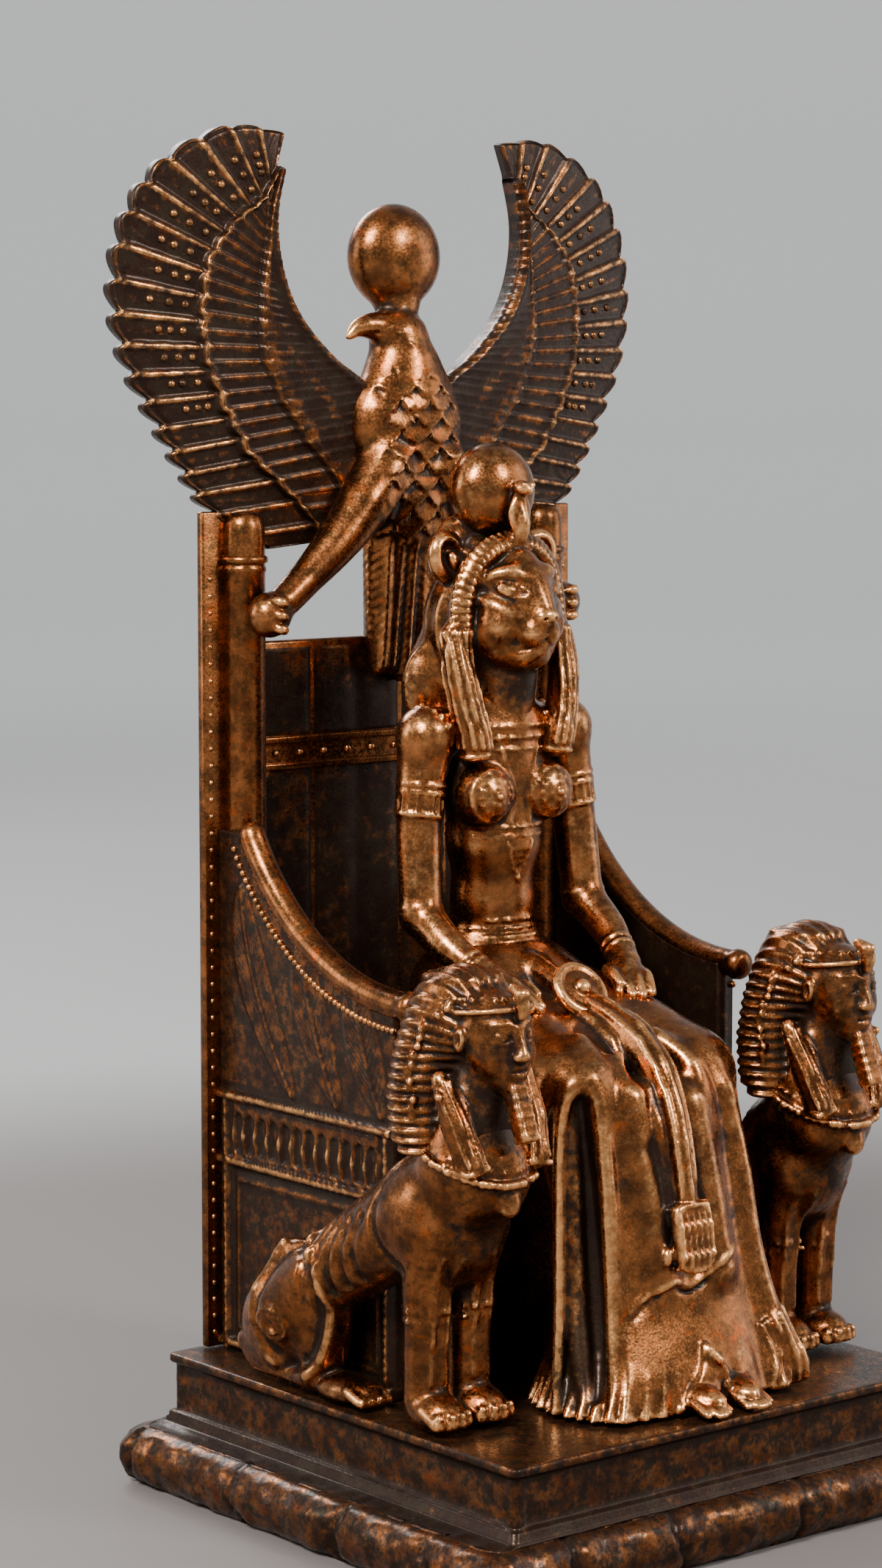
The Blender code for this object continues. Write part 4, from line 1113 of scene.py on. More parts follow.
def ruff_and_lappet(clay, side):
    """One side of the wig: short ribs that stand round the face, and the ridged lappet."""
    ruff = ((side * 0.9, 12.4, 184), (side * 5.5, 12.8, 182.6), (side * 9.2, 13.4, 179.2),
            (side * 11.4, 13.8, 174), (side * 12.0, 13.8, 168.5), (side * 11.8, 13.4, 163.5))
    clay.tube(ruff, (2.0, 2.3, 2.4, 2.3, 2.2, 2.0), 1.2)
    path, _ = sampled(ruff, 1, 4)
    for spot in path[:-3]:
        out = Vector((spot[0], 0, spot[2] - 170)).normalized()
        middle = Vector(spot)
        inner = middle - out * 2.1 + Vector((0, -1.1, 0))
        front = middle + Vector((0, -2.25, 0))
        outer = middle + out * 2.1 + Vector((0, -0.3, 0))
        clay.tube((tuple(inner), tuple(front), tuple(outer)), 0.62, 0.3, 3)
    lappet = ((side * 13.3, 14.4, 167), (side * 13.2, 12.9, 160), (side * 12.2, 11.8, 153),
              (side * 10.9, 11.2, 147.5), (side * 10.3, 11.2, 145.0))
    clay.tube(lappet, (2.2, 2.9, 3.1, 3.2, 3.2), 1.2)
    for k in range(4):
        line = [(side * abs(x) - 2.1 + 1.4 * k, -2, z) for x, _, z in lappet]
        clay.cord(line, (0, 1, 0), 0.52, 0.35)
    for k in range(2):
        line = [(side * 30, y - 0.6 + 1.7 * k, z) for _, y, z in lappet]
        clay.cord(line, (-side, 0, 0), 0.52, 0.35)
    clay.ball((side * 10.3, 11.2, 143.4), (3.5, 3.3, 1.0), (0, side * 6, 0), 0.4)


def wig_strands(x, y, z):
    """Fine upright lines down the back of the wig."""
    angle = np.arctan2(x, y - 12)
    low = np.clip((176 - z) / 4, 0, 1)
    return 0.17 * np.cos(angle * 30) * low * (y > 17)


def disc_and_cobra(clay):
    """The sun disc on its low stand, and the rearing cobra before it."""
    clay.ball((0, 18.6, 193.9), (9.3, 6.9, 9.3), melt=0.4)
    clay.tube(ring_points((0, 17.5), (4.8, 4.8), 183.6, 0, 360, 18), 1.3, 1.4, 1)
    clay.tube(((0, 12.6, 182.8), (0, 10.6, 185.0), (0, 9.6, 188), (0, 10.6, 191.5), (0, 10.2, 194.0)),
              (1.4, 1.7, 1.7, 1.5, 1.3), 0.6)
    clay.ball((0, 10.3, 189.6), (2.7, 1.2, 3.7), (4, 0, 0), 0.7)
    clay.ball((0, 9.2, 194.6), (1.7, 2.4, 1.4), (14, 0, 0), 0.5)
    for side in SIDES:
        clay.ball((side * 1.0, 7.6, 195.2), (0.6, 0.6, 0.6), melt=0.2)


def make_head():
    """The lioness's head in its ribbed wig, with the sun disc and cobra."""
    clay = Clay((-19, -3, 139), (19, 34, 207), 0.4)
    clay.ball((0, 20.5, 168), (13.2, 10, 15.5), melt=2)
    clay.ball((0, 25.5, 156), (16, 6.5, 13), melt=3)
    clay.tube(((0, 17, 150), (0, 14.5, 160), (0, 14, 168)), (7.2, 6.4, 6.8), 2)
    clay.ball((0, 20, 179.5), (10.0, 7.5, 6.0), melt=2)
    make_face(clay)
    for side in SIDES:
        ruff_and_lappet(clay, side)
    clay.relief((-19, 17, 142), (19, 34, 180), wig_strands)
    # Painted shade under the chin, at the sides of the wig, and round the eyes under the brows
    clay.paint_shade((0, 10, 156), (8, 7, 6), 0.7)
    for side in SIDES:
        clay.paint_shade((side * 15, 25, 160), (4, 7, 14), 0.4)
        clay.paint_shade((side * 3.2, 5.4, 174.6), (1.0, 1.8, 0.9), 0.8)
        clay.paint_shade((side * 5.6, 6.0, 173.5), (2.4, 1.8, 0.6), 0.55)
        clay.paint_shade((side * 5.4, 6.0, 177.0), (2.2, 1.8, 0.5), 0.4)
    # The wig's crown behind the disc
    clay.ball((0, 21.5, 185.5), (10.8, 4.0, 4.8), melt=1.5)
    disc_and_cobra(clay)
    return clay.skin("lioness_head", 0.008)


def arm_frame(a, b):
    """Two directions square to the line from a to b."""
    along = Vector(np.subtract(b, a)).normalized()
    first = along.orthogonal().normalized()
    return first, along.cross(first)


def cuff(clay, a, b, share, radius, thick):
    """A raised ring round a limb that runs from a to b."""
    middle = Vector(a).lerp(Vector(b), share)
    first, second = arm_frame(a, b)
    ring = [tuple(middle + (first * cos(turn) + second * sin(turn)) * radius) for turn in angles(17)]
    clay.tube(ring, thick, 0.2, 1)


def hand(clay, side):
    """A hand laid flat on the thigh, fingers forward."""
    wrist = (side * 18.2, 0.5, 103.0)
    knuckle = Vector((side * 15.2, -5.2, 99.9))
    clay.tube((wrist, (side * 17.0, -2.0, 101.5), tuple(knuckle)), (2.9, 3.2, 2.6), 1.2)
    clay.ball((side * 15.8, -3.8, 100.4), (3.8, 4.4, 2.1), (16, 0, side * 26), 1)
    ahead = Vector((side * -0.42, -0.86, -0.32)).normalized()
    across = Vector((0.9, -0.44 * side, 0)).normalized()
    for k in range(4):
        start = knuckle + across * (-3.3 + 2.1 * k) - ahead * 1.2
        length = (7.0, 8.0, 7.6, 6.0)[k if side < 0 else 3 - k]
        bend = start + ahead * length * 0.5 + Vector((0, 0, 0.7))
        end = start + ahead * length + Vector((0, 0, -0.7))
        clay.tube((tuple(start), tuple(bend), tuple(end)), (1.2, 1.15, 0.9), 0.25)
    thumb = Vector((side * 12.9, -1.6, 100.8))
    clay.tube((tuple(thumb), tuple(thumb + Vector((side * -1.6, -3.4, -0.4))),
               tuple(thumb + Vector((side * -2.2, -6.2, -1.6)))), (1.4, 1.25, 0.9), 0.5)


UPPER_ARM = ((17.5, 17.5, 147), (19.6, 17, 132), (20.8, 15, 113))
FOREARM = ((20.8, 15, 113), (20.4, 7, 107.5), (18.2, 0.5, 103.2))
BREAST_X = 7.8
BREAST_Z = 135.5
TORSO_Y = 18


def bare_arm(clay, side):
    """An arm and its hand, with a fluted armband and rings at the elbow and the wrist."""
    arm = [(side * x, y, z) for x, y, z in UPPER_ARM]
    clay.tube(arm, (5.3, 4.4, 4.0), 2)
    clay.ball((side * 17.6, 17.5, 147.0), (5.2, 5.6, 5.4), melt=2)
    fore = [(side * x, y, z) for x, y, z in FOREARM]
    clay.tube(fore, (4.1, 3.6, 2.7), 1.5)
    hand(clay, side)
    a, b = arm[0], arm[1]
    for share in (0.62, 0.72, 1.0):
        cuff(clay, a, b, share, 4.6 - 0.25 * share, 0.62)
    first, second = arm_frame(a, b)
    for turn in angles(19)[:-1]:
        way = first * cos(turn) + second * sin(turn)
        ends = [tuple(Vector(a).lerp(Vector(b), s) + way * 4.5) for s in (0.73, 0.98)]
        clay.tube(ends, 0.36, 0.2, 1)
    for share in (0.2, 0.42):
        cuff(clay, fore[1], fore[2], 0.45 + share, 3.0 - 0.2 * share, 0.5)
    cuff(clay, arm[1], arm[2], 0.93, 4.15, 0.42)


def rosette(clay, side):
    """Rings of beads on a breast, its rim, and the strap from the collar to the underbust band."""
    for radius, count, size in ((3.6, 14, 0.36), (1.8, 8, 0.34)):
        spots = [(side * BREAST_X + radius * cos(a), -4, BREAST_Z + radius * sin(a))
                 for a in angles(count + 1)[:-1]]
        clay.beads(spots, (0, 1, 0), size)
    rim = [(side * BREAST_X + 5.0 * cos(a), -4, BREAST_Z - 0.1 + 5.0 * sin(a)) for a in angles(25)]
    clay.cord(rim, (0, 1, 0), 0.3, 0.5)
    clay.beads([(side * BREAST_X, -4, BREAST_Z)], (0, 1, 0), 0.7)
    strap = [(side * x, -6, z) for x, z in ((5.2, 147), (3.6, 141), (2.2, 135), (2.6, 130))]
    clay.cord(strap, (0, 1, 0), 0.4, 0.6)


def collar(clay):
    """A broad collar: rows of beads round the shoulders and lines on the chest."""
    for row, (rx, ry, level) in enumerate(((11.5, 9, 153.2), (14.0, 10, 151.4), (16.4, 11, 149.6),
                                           (18.4, 12, 147.4))):
        above = [(rx * cos(a), TORSO_Y + ry * sin(a), level + 8) for a in angles(35 + 7 * row)[:-1]]
        for spot in clay.land(above, (0, 0, -1), 22):
            if spot[2] > level - 7:
                clay.ball(spot, (0.66, 0.66, 0.66), melt=0.2)
    for level in (148.6, 146.4, 144.2):
        spots = ring_points((0, TORSO_Y), (15, 16), level, 212, 328, 34)
        clay.cord(spots, inward(spots, (0, TORSO_Y)), 0.34, 0.5)


def waist_bands(clay):
    """The bands under the bust and the belt, with beads and a pendant triangle."""
    for level, size in ((129.0, 0.36), (127.2, 0.36), (110.6, 0.5), (107.4, 0.5)):
        spots = ring_points((0, TORSO_Y), (24, 24), level, 0, 360, 60)
        spots = [s for s in clay.land(spots, inward(spots, (0, TORSO_Y))) if abs(s[0]) < 13.5]
        spots.sort(key=lambda s: s[0])
        clay.tube([s for s in spots if s[1] < TORSO_Y], size, 0.3, 1)
        clay.tube([s for s in spots if s[1] >= TORSO_Y], size, 0.3, 1)
    spots = ring_points((0, TORSO_Y), (15, 24), 109.0, 182, 358, 46)
    clay.beads(spots, inward(spots, (0, TORSO_Y)), 0.42)
    clay.cord([(-3.2, -6, 126), (0, -6, 119.5), (3.2, -6, 126)], (0, 1, 0), 0.3, 0.4, 5)
    for k in range(3):
        row = [(-1.9 + 0.55 * k, -6, 124.6 - 1.4 * k), (1.9 - 0.55 * k, -6, 124.6 - 1.4 * k)]
        clay.cord(row, (0, 1, 0), 0.24, 0.3, 4)
    clay.beads([(0, -6, 118.9)], (0, 1, 0), 0.6)


def make_torso():
    """Shoulders, breasts, waist and arms, with collar, bands, belt and bracelets."""
    clay = Clay((-27, -18, 92), (27, 30, 163), 0.45)
    clay.tube(((0, 15.5, 160), (0, 17, 155), (0, 19, 146)), (6.4, 7.2, 9), 2)
    for centre, radii in (((0, 18, 148.5), (17.5, 7.6, 5)), ((0, 17.5, 138), (13.0, 8.0, 12)),
                          ((0, 17.8, 126), (10.4, 8.3, 10)), ((0, 18.2, 114), (9.2, 7.4, 12)),
                          ((0, 18.4, 102), (12.6, 10.2, 9))):
        clay.ball(centre, radii, melt=3)
    for side in SIDES:
        clay.ball((side * BREAST_X, 12.3, BREAST_Z), (5.9, 5.6, 5.9), melt=1.5)
        bare_arm(clay, side)
        rosette(clay, side)
        # Painted shade between the arm and the body
        clay.paint_shade((side * 13, 18, 128), (3.5, 8, 14), 0.55)
    # Painted shade on the chest under the head
    clay.paint_shade((0, 10, 153), (7, 6, 5), 0.5)
    collar(clay)
    waist_bands(clay)
    return clay.skin("goddess_torso", 0.008)


# Level, half width, middle in Y and half depth of the skirt
SKIRT_LEVELS = ((24.5, 30.5, -32.5, 17), (33, 25.5, -31.5, 15.5), (44, 21, -29.5, 13),
                (60, 20.8, -26.5, 12), (76, 21.3, -22, 13), (86, 21.5, -17, 12.5))


def skirt_form(clay):
    """The long skirt as an upright form whose width, middle and depth change with the level."""
    part, x, y, z = clay.window((-36, -56, 22), (36, 2, 90))
    levels = [s[0] for s in SKIRT_LEVELS]
    wide, middle, deep = [np.interp(z, levels, [s[k] for s in SKIRT_LEVELS]).astype(np.float32)
                          for k in (1, 2, 3)]
    p = x / wide
    q = (y - middle) / deep
    angle = np.arctan2(q, p)
    square = 0.93 / np.maximum(np.abs(np.cos(angle)), np.abs(np.sin(angle))) ** 0.45
    low = np.clip((36 - z) / 9, 0, 1) ** 1.4
    flute = 1 + low * 0.024 * np.cos(angle * 40 + 2.2 * np.sin(angle * 3))
    near = np.hypot(p, q) / (square * flute)
    slope = np.hypot(p / wide, q / deep) / square + 1e-6
    form = near * (near - 1) / slope
    form = np.maximum(form, z - 84)
    form = np.maximum(form, base_level + 0.2 - z)
    clay.put(part, form.astype(np.float32), 2.5, False)


def skirt_slot(clay):
    """Cloth stretched between the shins, and the deep slot down the near shin between its folds."""
    clay.tube(((-8.4, -31.5, 82), (-7.8, -35.4, 66), (-7.6, -38.0, 50)), 3.4, 4)
    clay.tube(((6.0, -32.0, 80), (6.6, -35.8, 64), (7.0, -38.6, 50)), 3.4, 4)
    # The slot is cut, and two folds that meet above it stand on both sides
    clay.tube(((-19.6, -31, 82), (-20.4, -32.8, 68), (-20.8, -34.6, 52), (-22, -37.2, 38),
               (-23.4, -39.2, 30)), (2.5, 3.5, 3.7, 3.2, 1.2), 1.5, cut=True)
    clay.tube(((-16.6, -29, 86.4), (-15.8, -30.8, 82), (-16.6, -34.0, 68), (-17.6, -36.8, 50),
               (-19.4, -39.6, 36), (-20.5, -42.0, 26)), (1.9, 2.0, 1.6, 1.5, 1.4, 0.9), 1.6)
    clay.tube(((-16.6, -29, 86.4), (-20.0, -28.4, 85.4), (-22.4, -27.6, 79), (-23.2, -28.4, 62),
               (-24.4, -30, 44), (-27, -32, 26)), (1.9, 1.6, 1.3, 1.2, 1.2, 0.8), 1.4)
    clay.tube(((-19.4, -27.2, 84), (-20.0, -28.4, 68), (-20.8, -30.2, 50), (-22.2, -33.4, 37),
               (-24.2, -37.4, 26)), (0.8, 1.9, 2.1, 2.1, 1.2), 1.0)
    # Painted shade down the slot and low beside the near fold
    for level in (76, 66, 56, 46, 37):
        clay.paint_shade((-20.6 - 0.04 * (76 - level), -31 - 0.12 * (76 - level), level), (3.2, 4, 7), 0.55)
    clay.paint_shade((-25, -33, 32), (5, 7, 8), 0.6)


def skirt_roll(clay):
    """The valley and the far roll of the skirt."""
    clay.tube(((12.0, -38.0, 72), (13.0, -41.4, 54), (13.6, -45.2, 40), (13.4, -49, 28)),
              (0.8, 1.8, 2.6, 3.2), 2.4, cut=True)
    clay.tube(((16.6, -31, 80), (17.2, -34.0, 66), (17.8, -36.4, 52), (19.6, -39.6, 39),
               (23.5, -42.6, 29)), (1.6, 2.4, 2.6, 2.9, 3.4), 2.4)


def sash(clay):
    """The sash's ribs that lie on the lap, and its end that hangs before the skirt."""
    clay.tube(((0, 5, 101.4), (0.2, -8, 97.0), (-0.4, -24, 91.4), (-1.6, -33.6, 82.6),
               (-2.4, -38.0, 71), (-2.2, -39.6, 60)), (3.0, 2.7, 3.4, 3.2, 2.8, 2.6), 2.2)
    middle = ((0.2, -8, 98.6), (-0.2, -17, 95.2), (-0.6, -26, 90.6), (-1.6, -33.4, 84.6),
              (-2.2, -37.6, 76), (-2.4, -39.6, 67), (-2.2, -40.6, 61))
    for k in range(5):
        off = -4.2 + 2.1 * k
        line = [(x + off * (1.0 - 0.04 * n), y - 9, z + 8) for n, (x, y, z) in enumerate(middle)]
        clay.cord(line, (0, 0.75, -0.66), 0.95 if k in (0, 4) else 0.75, 0.5)
    # Fringed tab at the end of the sash, with its tassel
    clay.block((-2.2, -42.0, 58.4), (4.6, 1.2, 5.4), 0.8, (-10, 0, 0), 0.6)
    clay.ball((-2.2, -43.0, 53.0), (4.4, 1.3, 2.6), (-10, 0, 0), 0.6)
    for k in range(6):
        x = -5.9 + 1.48 * k
        clay.cord([(x, -60, z) for z in (61.6, 58, 54, 51.6)], (0, 1, 0), 0.55, 0.25, 3)
    clay.cord([(-6.9, -60, 62.6), (-2.2, -60, 63.2), (2.5, -60, 62.6)], (0, 1, 0), 0.5, 0.3)
    clay.beads([(-6.2 + 1.3 * k, -60, 51.5 - 0.5 * (1 - abs(k - 3) / 3)) for k in range(7)],
               (0, 1, 0), 0.5)
    clay.ball((-7.7, -41.2, 54.0), (1.2, 1.2, 2.0), (0, 16, 0), 0.4)
    # A shallow cut beside the hanging end, and painted shade on both sides of it
    clay.tube(((-8.0, -37.6, 74), (-7.2, -39.4, 70), (-6.8, -41.0, 64)), (0.6, 1.2, 0.5), 2.2, cut=True)
    for x, z in ((-7.8, 74), (-7.0, 69), (-6.6, 64), (-7.4, 58), (2.6, 75), (3.2, 70), (3.2, 64),
                 (4.0, 58)):
        clay.paint_shade((x, -38.6 - 0.22 * (70 - z), z), (1.3, 3.0, 3.4), 0.6)


def knee_folds(clay):
    """Soft folds over the far knee and beside the near one."""
    for points, size in ((((6.6, -22, 92), (9.0, -29.2, 86.6), (10.0, -32.6, 79),
                           (10.2, -34, 72)), 1.3),
                         (((12.6, -26, 88.4), (15.0, -31.0, 82), (15.2, -32.8, 75)), 1.8),
                         (((-7.0, -27, 90), (-10.5, -30.4, 84), (-12.2, -33.4, 75)), 1.1),
                         (((-12.4, -22, 92.5), (-14.4, -28, 87.4), (-14.2, -32, 79)), 1.3)):
        last = len(points) - 1
        shares = np.interp(range(last + 1), (0, 1, last - 1, last), (0.5, 1, 1, 0.2))
        clay.tube(points, size * shares, 3.2)


def hem_line(clay):
    """The edge of the overskirt, a shallow step that curves under the sash."""
    hem = [(x, -60, z) for x, z in ((-15, 44.6), (-11.8, 47.0), (-8.5, 48.2), (-5.5, 49.0), (-2.2, 47.6),
                                    (1.5, 48.6), (5.5, 51.0), (10.5, 53.6))]
    clay.cord(hem, (0, 1, 0), 0.3, 1.3, 4)
    under = [(x, -60, z - 1.2) for x, _, z in hem]
    clay.cord(under, (0, 1, 0), 0.12, 1.0, 4, True)


def hem_and_feet(clay):
    """The split at the hem with its pleats, and the bare feet within."""
    clay.tube(((1.6, -49.4, 36), (3.4, -51.5, 31), (5.2, -52, 25)), (0.6, 2.6, 4.6), 1.2, cut=True)
    for k in range(6):
        end = (-9.5 + 2.3 * k, -60, 26.8 + 0.5 * k)
        clay.cord([(-1.0 + 0.25 * k, -60, 37.0 - 0.5 * k), (-3.6 + 1.2 * k, -60, 32), end], (0, 1, 0),
                  0.75, 0.5)
    for k in range(5):
        clay.cord([(15.5 + 1.5 * k, -60, 37.5 + 0.6 * k), (16.8 + 1.7 * k, -60, 32),
                   (15.4 + 2.3 * k, -60, 26.6)], (0, 1, 0), 0.75, 0.5)
    for foot, way in ((5.6, -8), (-4.6, 8)):
        clay.ball((foot, -45.6, 28.0), (3.5, 7.0, 2.7), (0, 0, way), 0.8)
        for k, reach in enumerate((-52.2, -53.4, -53.8, -53.2, -52.0)):
            toe = foot - 2.9 + 1.42 * k
            clay.tube(((toe * 0.97, -47.5, 28.0), (toe, reach + 1.8, 27.0), (toe, reach, 26.2)),
                      (1.0, 0.85, 0.85), 0.25, 3)


def make_skirt():
    """Hips, thighs and shins under a draped skirt, with the sash, its fringe and the toes."""
    clay = Clay((-34, -58, 24.4), (34, 34, 112), 0.5)
    skirt_form(clay)
    clay.ball((0, 18, 97), (17.5, 15, 11.5), melt=3)
    for side in SIDES:
        clay.tube(((side * 9.5, 15, 92), (side * 12.6, -6, 88), (side * 14.6, -22, 82.8)),
                  (11.4, 10, 9), 3)
        clay.tube(((side * 14.6, -22, 82.8), (side * 13.8, -29, 58), (side * 13.5, -33, 34)),
                  (9, 7.2, 7.4), 3)
    clay.ball((0, -6, 88), (11, 20, 9), (4, 0, 0), 4)
    skirt_slot(clay)
    skirt_roll(clay)
    sash(clay)
    knee_folds(clay)
    hem_line(clay)
    hem_and_feet(clay)
    # Room for the seat and the plinth
    clay.clear((-40, front_y + 0.36, 20), (40, 60, seat_top + 0.3))
    clay.clear((-60, -80, 0), (60, 60, base_level))
    return clay.skin("goddess_skirt", 0.012)


def make_medallion():
    """The ring with a boss that the goddess holds on her lap."""
    clay = Clay((-10, -18, 91), (7, 0, 108), 0.3)
    centre = Vector((-1.6, -9.6, 99.4))
    lean = 40
    first = Vector((1, 0, 0))
    second = Vector((0, sin(radians(lean)), cos(radians(lean))))
    normal = first.cross(second)
    for radius, thick in ((5.0, 1.15), (3.2, 0.5)):
        ring = [tuple(centre + (first * cos(a) + second * sin(a)) * radius) for a in angles(25)]
        clay.tube(ring, thick, 0.2, 1)
    clay.ball(tuple(centre), (5.2, 1.2, 5.2), (-lean, 0, 0), 0.4)
    for out in (-0.6, 0.6):
        clay.ball(tuple(centre + normal * out), (1.9, 1.9, 1.9), melt=0.3)
    return clay.skin("lap_medallion", 0.0)


# Sphinx


def headcloth(clay, cx):
    """The headcloth's crown, its flaring sides and its stripes."""
    clay.ball((cx, -26, 100.3), (9.4, 9.6, 10.2), melt=1.5)
    part, x, y, z = clay.window((26, -40, 74), (62, -10, 112))
    levels = (77, 80, 88, 96, 103, 108)
    half = np.interp(z, levels, (12.4, 13.4, 13.2, 11.9, 9.8, 7))
    front = np.interp(z, levels, (-29.0, -29.6, -29, -29.6, -31, -32))
    back = np.interp(z, levels, (-18, -15, -14, -14.5, -16, -18))
    p = (x - cx) / half
    q = (y - (front + back) / 2) / ((back - front) / 2)
    near = np.sqrt(p * p + q * q)
    form = (near - 1) * np.minimum(half, (back - front) / 2)
    form = np.maximum(np.maximum(form, z - 108.5), 76.4 - z)
    clay.put(part, form.astype(np.float32), 1.5, False)

    def stripes(x, y, z):
        """Ridges that run back over the crown, and level ones down the sides."""
        around = np.arctan2(np.abs(x - cx), z - 95)
        phase = np.where(z > 95, around * 10.5 / 1.9, pi / 2 * 10.5 / 1.9 + (95 - z) / 1.9)
        return 0.22 * np.cos(2 * pi * phase) * np.clip((y + 36.5) / 2, 0, 1)

    clay.relief((26, -40, 76), (62, -10, 113), stripes)


def sphinx_face(clay, cx):
    """An egg-shaped face with thirds for brow, nose and chin, and an ear before the cloth."""
    clay.ball((cx, -33.6, 99.6), (7.0, 7.6, 7.4), melt=0.8)
    clay.ball((cx, -34.4, 95.2), (5.7, 6.6, 7.2), melt=1.6)
    clay.ball((cx, -38.4, 90.6), (2.5, 2.6, 2.0), melt=1.6)
    for side in SIDES:
        clay.ball((cx + side * 3.5, -37.4, 95.4), (2.3, 2.6, 2.9), melt=1.8)
        clay.ball((cx + side * 2.75, -41.7, 99.0), (1.9, 1.4, 1.05), melt=0.8, cut=True)
        clay.ball((cx + side * 2.75, -39.4, 98.9), (1.55, 1.3, 0.9), melt=0.25)
        lid = [(cx + side * (2.75 + 1.85 * cos(a)), -48, 98.9 + 0.95 * sin(a))
               for a in angles(13)]
        clay.cord(lid, (0, 1, 0), 0.27, 0.2)
        brow = [(cx + side * d, -48, z) for d, z in ((0.9, 100.9), (2.6, 101.7), (4.6, 101.2))]
        clay.cord(brow, (0, 1, 0), 0.36, 0.4)
        # Ear before the cloth
        clay.ball((cx + side * 7.2, -33.0, 98.3), (1.1, 1.7, 2.4), (12, 0, side * 18), 0.6)
        clay.ball((cx + side * 8.2, -33.4, 98.4), (0.6, 0.8, 1.3), (12, 0, side * 18), 0.4, True)
    clay.tube(((cx, -40.4, 100.4), (cx, -41.3, 98.0), (cx, -42.0, 96.0)), (0.8, 1.0, 1.15), 1.1)
    clay.ball((cx, -41.7, 95.5), (1.9, 1.3, 0.9), melt=0.8)
    clay.ball((cx, -39.6, 93.0), (2.9, 1.9, 2.2), melt=1.2)
    lips = ((cx - 1.9, -40.2, 93.3), (cx, -41.2, 93.55), (cx + 1.9, -40.2, 93.3))
    clay.tube(lips, (0.2, 0.5, 0.2), 0.6)
    lips = ((cx - 1.5, -40.1, 92.3), (cx, -41.1, 92.1), (cx + 1.5, -40.1, 92.3))
    clay.tube(lips, (0.2, 0.55, 0.2), 0.6)
    mouth = [(cx + d, -48, z) for d, z in ((-2.2, 92.95), (-1, 92.8), (0, 92.85), (1, 92.8),
                                           (2.2, 92.95))]
    clay.cord(mouth, (0, 1, 0), 0.18, 0.25, 3, True)


def brow_and_beard(clay, cx):
    """The brow band with its beads, the cobra, and the ridged beard before the throat."""
    band = [(cx + 7.2 * sin(a), -33.4 - 7.6 * cos(a), 103.2 + 0.9 * cos(a))
            for a in angles(21, -95, 95)]
    clay.tube([(p[0], p[1] + 0.5, p[2]) for p in band], 0.5, 1.0, 1)
    clay.beads([(p[0], p[1] - 4, p[2] + 1.6) for p in band[3:18]], (0, 1, 0), 0.5)
    clay.tube(((cx, -39.0, 107.6), (cx, -41.2, 106.8), (cx, -42.0, 104.8), (cx, -41.6, 102.9)),
              (0.9, 1.25, 1.35, 1.0), 0.4)
    clay.ball((cx, -42.0, 107.0), (1.1, 1.5, 1.0), melt=0.3)
    clay.block((cx, -41.4, 85.4), (1.9, 1.7, 5.4), 0.5, (-22, 0, 0), 0.3)
    for k in range(6):
        rise = -4.2 + 1.7 * k
        spot = (cx, -41.4 + rise * sin(radians(22)), 85.4 + rise * cos(radians(22)))
        clay.block(spot, (2.0, 1.82, 0.2), 0.15, (-22, 0, 0), 0.2)
    clay.ball((cx, -31.6, 84), (8.6, 5.2, 10.5), melt=2.5)


def sphinx_lappets(clay, cx):
    """Lappets on the chest with long stripes, and beads down the cloth's front edge."""
    for side in SIDES:
        lappet = ((cx + side * 9.6, -30.4, 91), (cx + side * 8.8, -33.6, 83.5),
                  (cx + side * 7.4, -36.2, 76.2))
        clay.tube(lappet, (1.6, 2.7, 2.7), 1.4)
        for k in range(4):
            off = -1.95 + 1.3 * k
            line = [(p[0] + off, -50, p[2]) for p in lappet]
            clay.cord(line, (0, 1, 0), 0.46, 0.3)
        clay.block((cx + side * 7.3, -36.4, 75.2), (2.9, 2.6, 0.6), 0.4, (0, side * 8, 0), 0.4)
        rim = [(cx + side * d, -50, z) for d, z in ((6.6, 104.5), (8.9, 101), (10.2, 96.5), (11.0, 91.5),
                                                   (11.2, 87), (10.8, 83))]
        path, _ = sampled(rim, 1, 3)
        for spot in clay.land([(p[0] + side * 0.6, -42, p[2]) for p in path[:-1]], (0, 1, 0)):
            clay.ball(spot, (0.8, 0.8, 0.8), melt=0.3)


def make_sphinx_head():
    """A king's head with a striped headcloth, cobra and beard; its face is calm and plain."""
    clay = Clay((26, -47, 70), (62, -10, 113), 0.4)
    cx = 43.6
    headcloth(clay, cx)
    sphinx_face(clay, cx)
    brow_and_beard(clay, cx)
    sphinx_lappets(clay, cx)
    clay.clear((20, -60, 60), (70, 0, 72.5))
    # Painted shade over the face within the headcloth, and under the beard
    clay.paint_shade((cx, -38, 97), (6, 6, 6), 0.3)
    clay.paint_shade((cx, -36, 84), (4.5, 5, 7), 0.6)
    return clay.skin("sphinx_head_left", 0.008)


def forelegs(clay):
    """Both forelegs with paws, beaded anklets and lines of muscle."""
    for leg in SIDES:
        x = 44.4 + leg * 5
        clay.tube(((x, -24, 62), (x, -22.2, 52), (x, -21.8, 44), (x, -21.6, 30.5)),
                  (5.8, 4.7, 4.1, 3.9), 1.6)
        clay.ball((x + leg * 0.6, -22.4, 65), (5.4, 7.6, 9.6), (-8, 0, 0), 2)
        clay.ball((x, -24.4, 28.6), (4.5, 6.4, 3.7), melt=1.2)
        for k in range(4):
            toe = x - 3.3 + 2.2 * k
            reach = -30.2 if k in (1, 2) else -29.2
            clay.tube(((toe, -25, 29.3), (toe, reach, 27.4)), (1.35, 1.35), 0.35, 2)
            clay.ball((toe, reach - 0.6, 28.9), (0.75, 0.8, 0.7), melt=0.2)
        for level in (47.2, 45.4):
            spots = ring_points((x, -21.9), (9, 9), level, 0, 360, 20)
            clay.beads(spots, inward(spots, (x, -21.9)), 0.62)
        # Muscle lines down the leg
        for off in (-1.6, 1.6):
            clay.cord([(x + off, -45, z) for z in (58, 50, 42, 34)], (0, 1, 0), 0.5, 0.8)


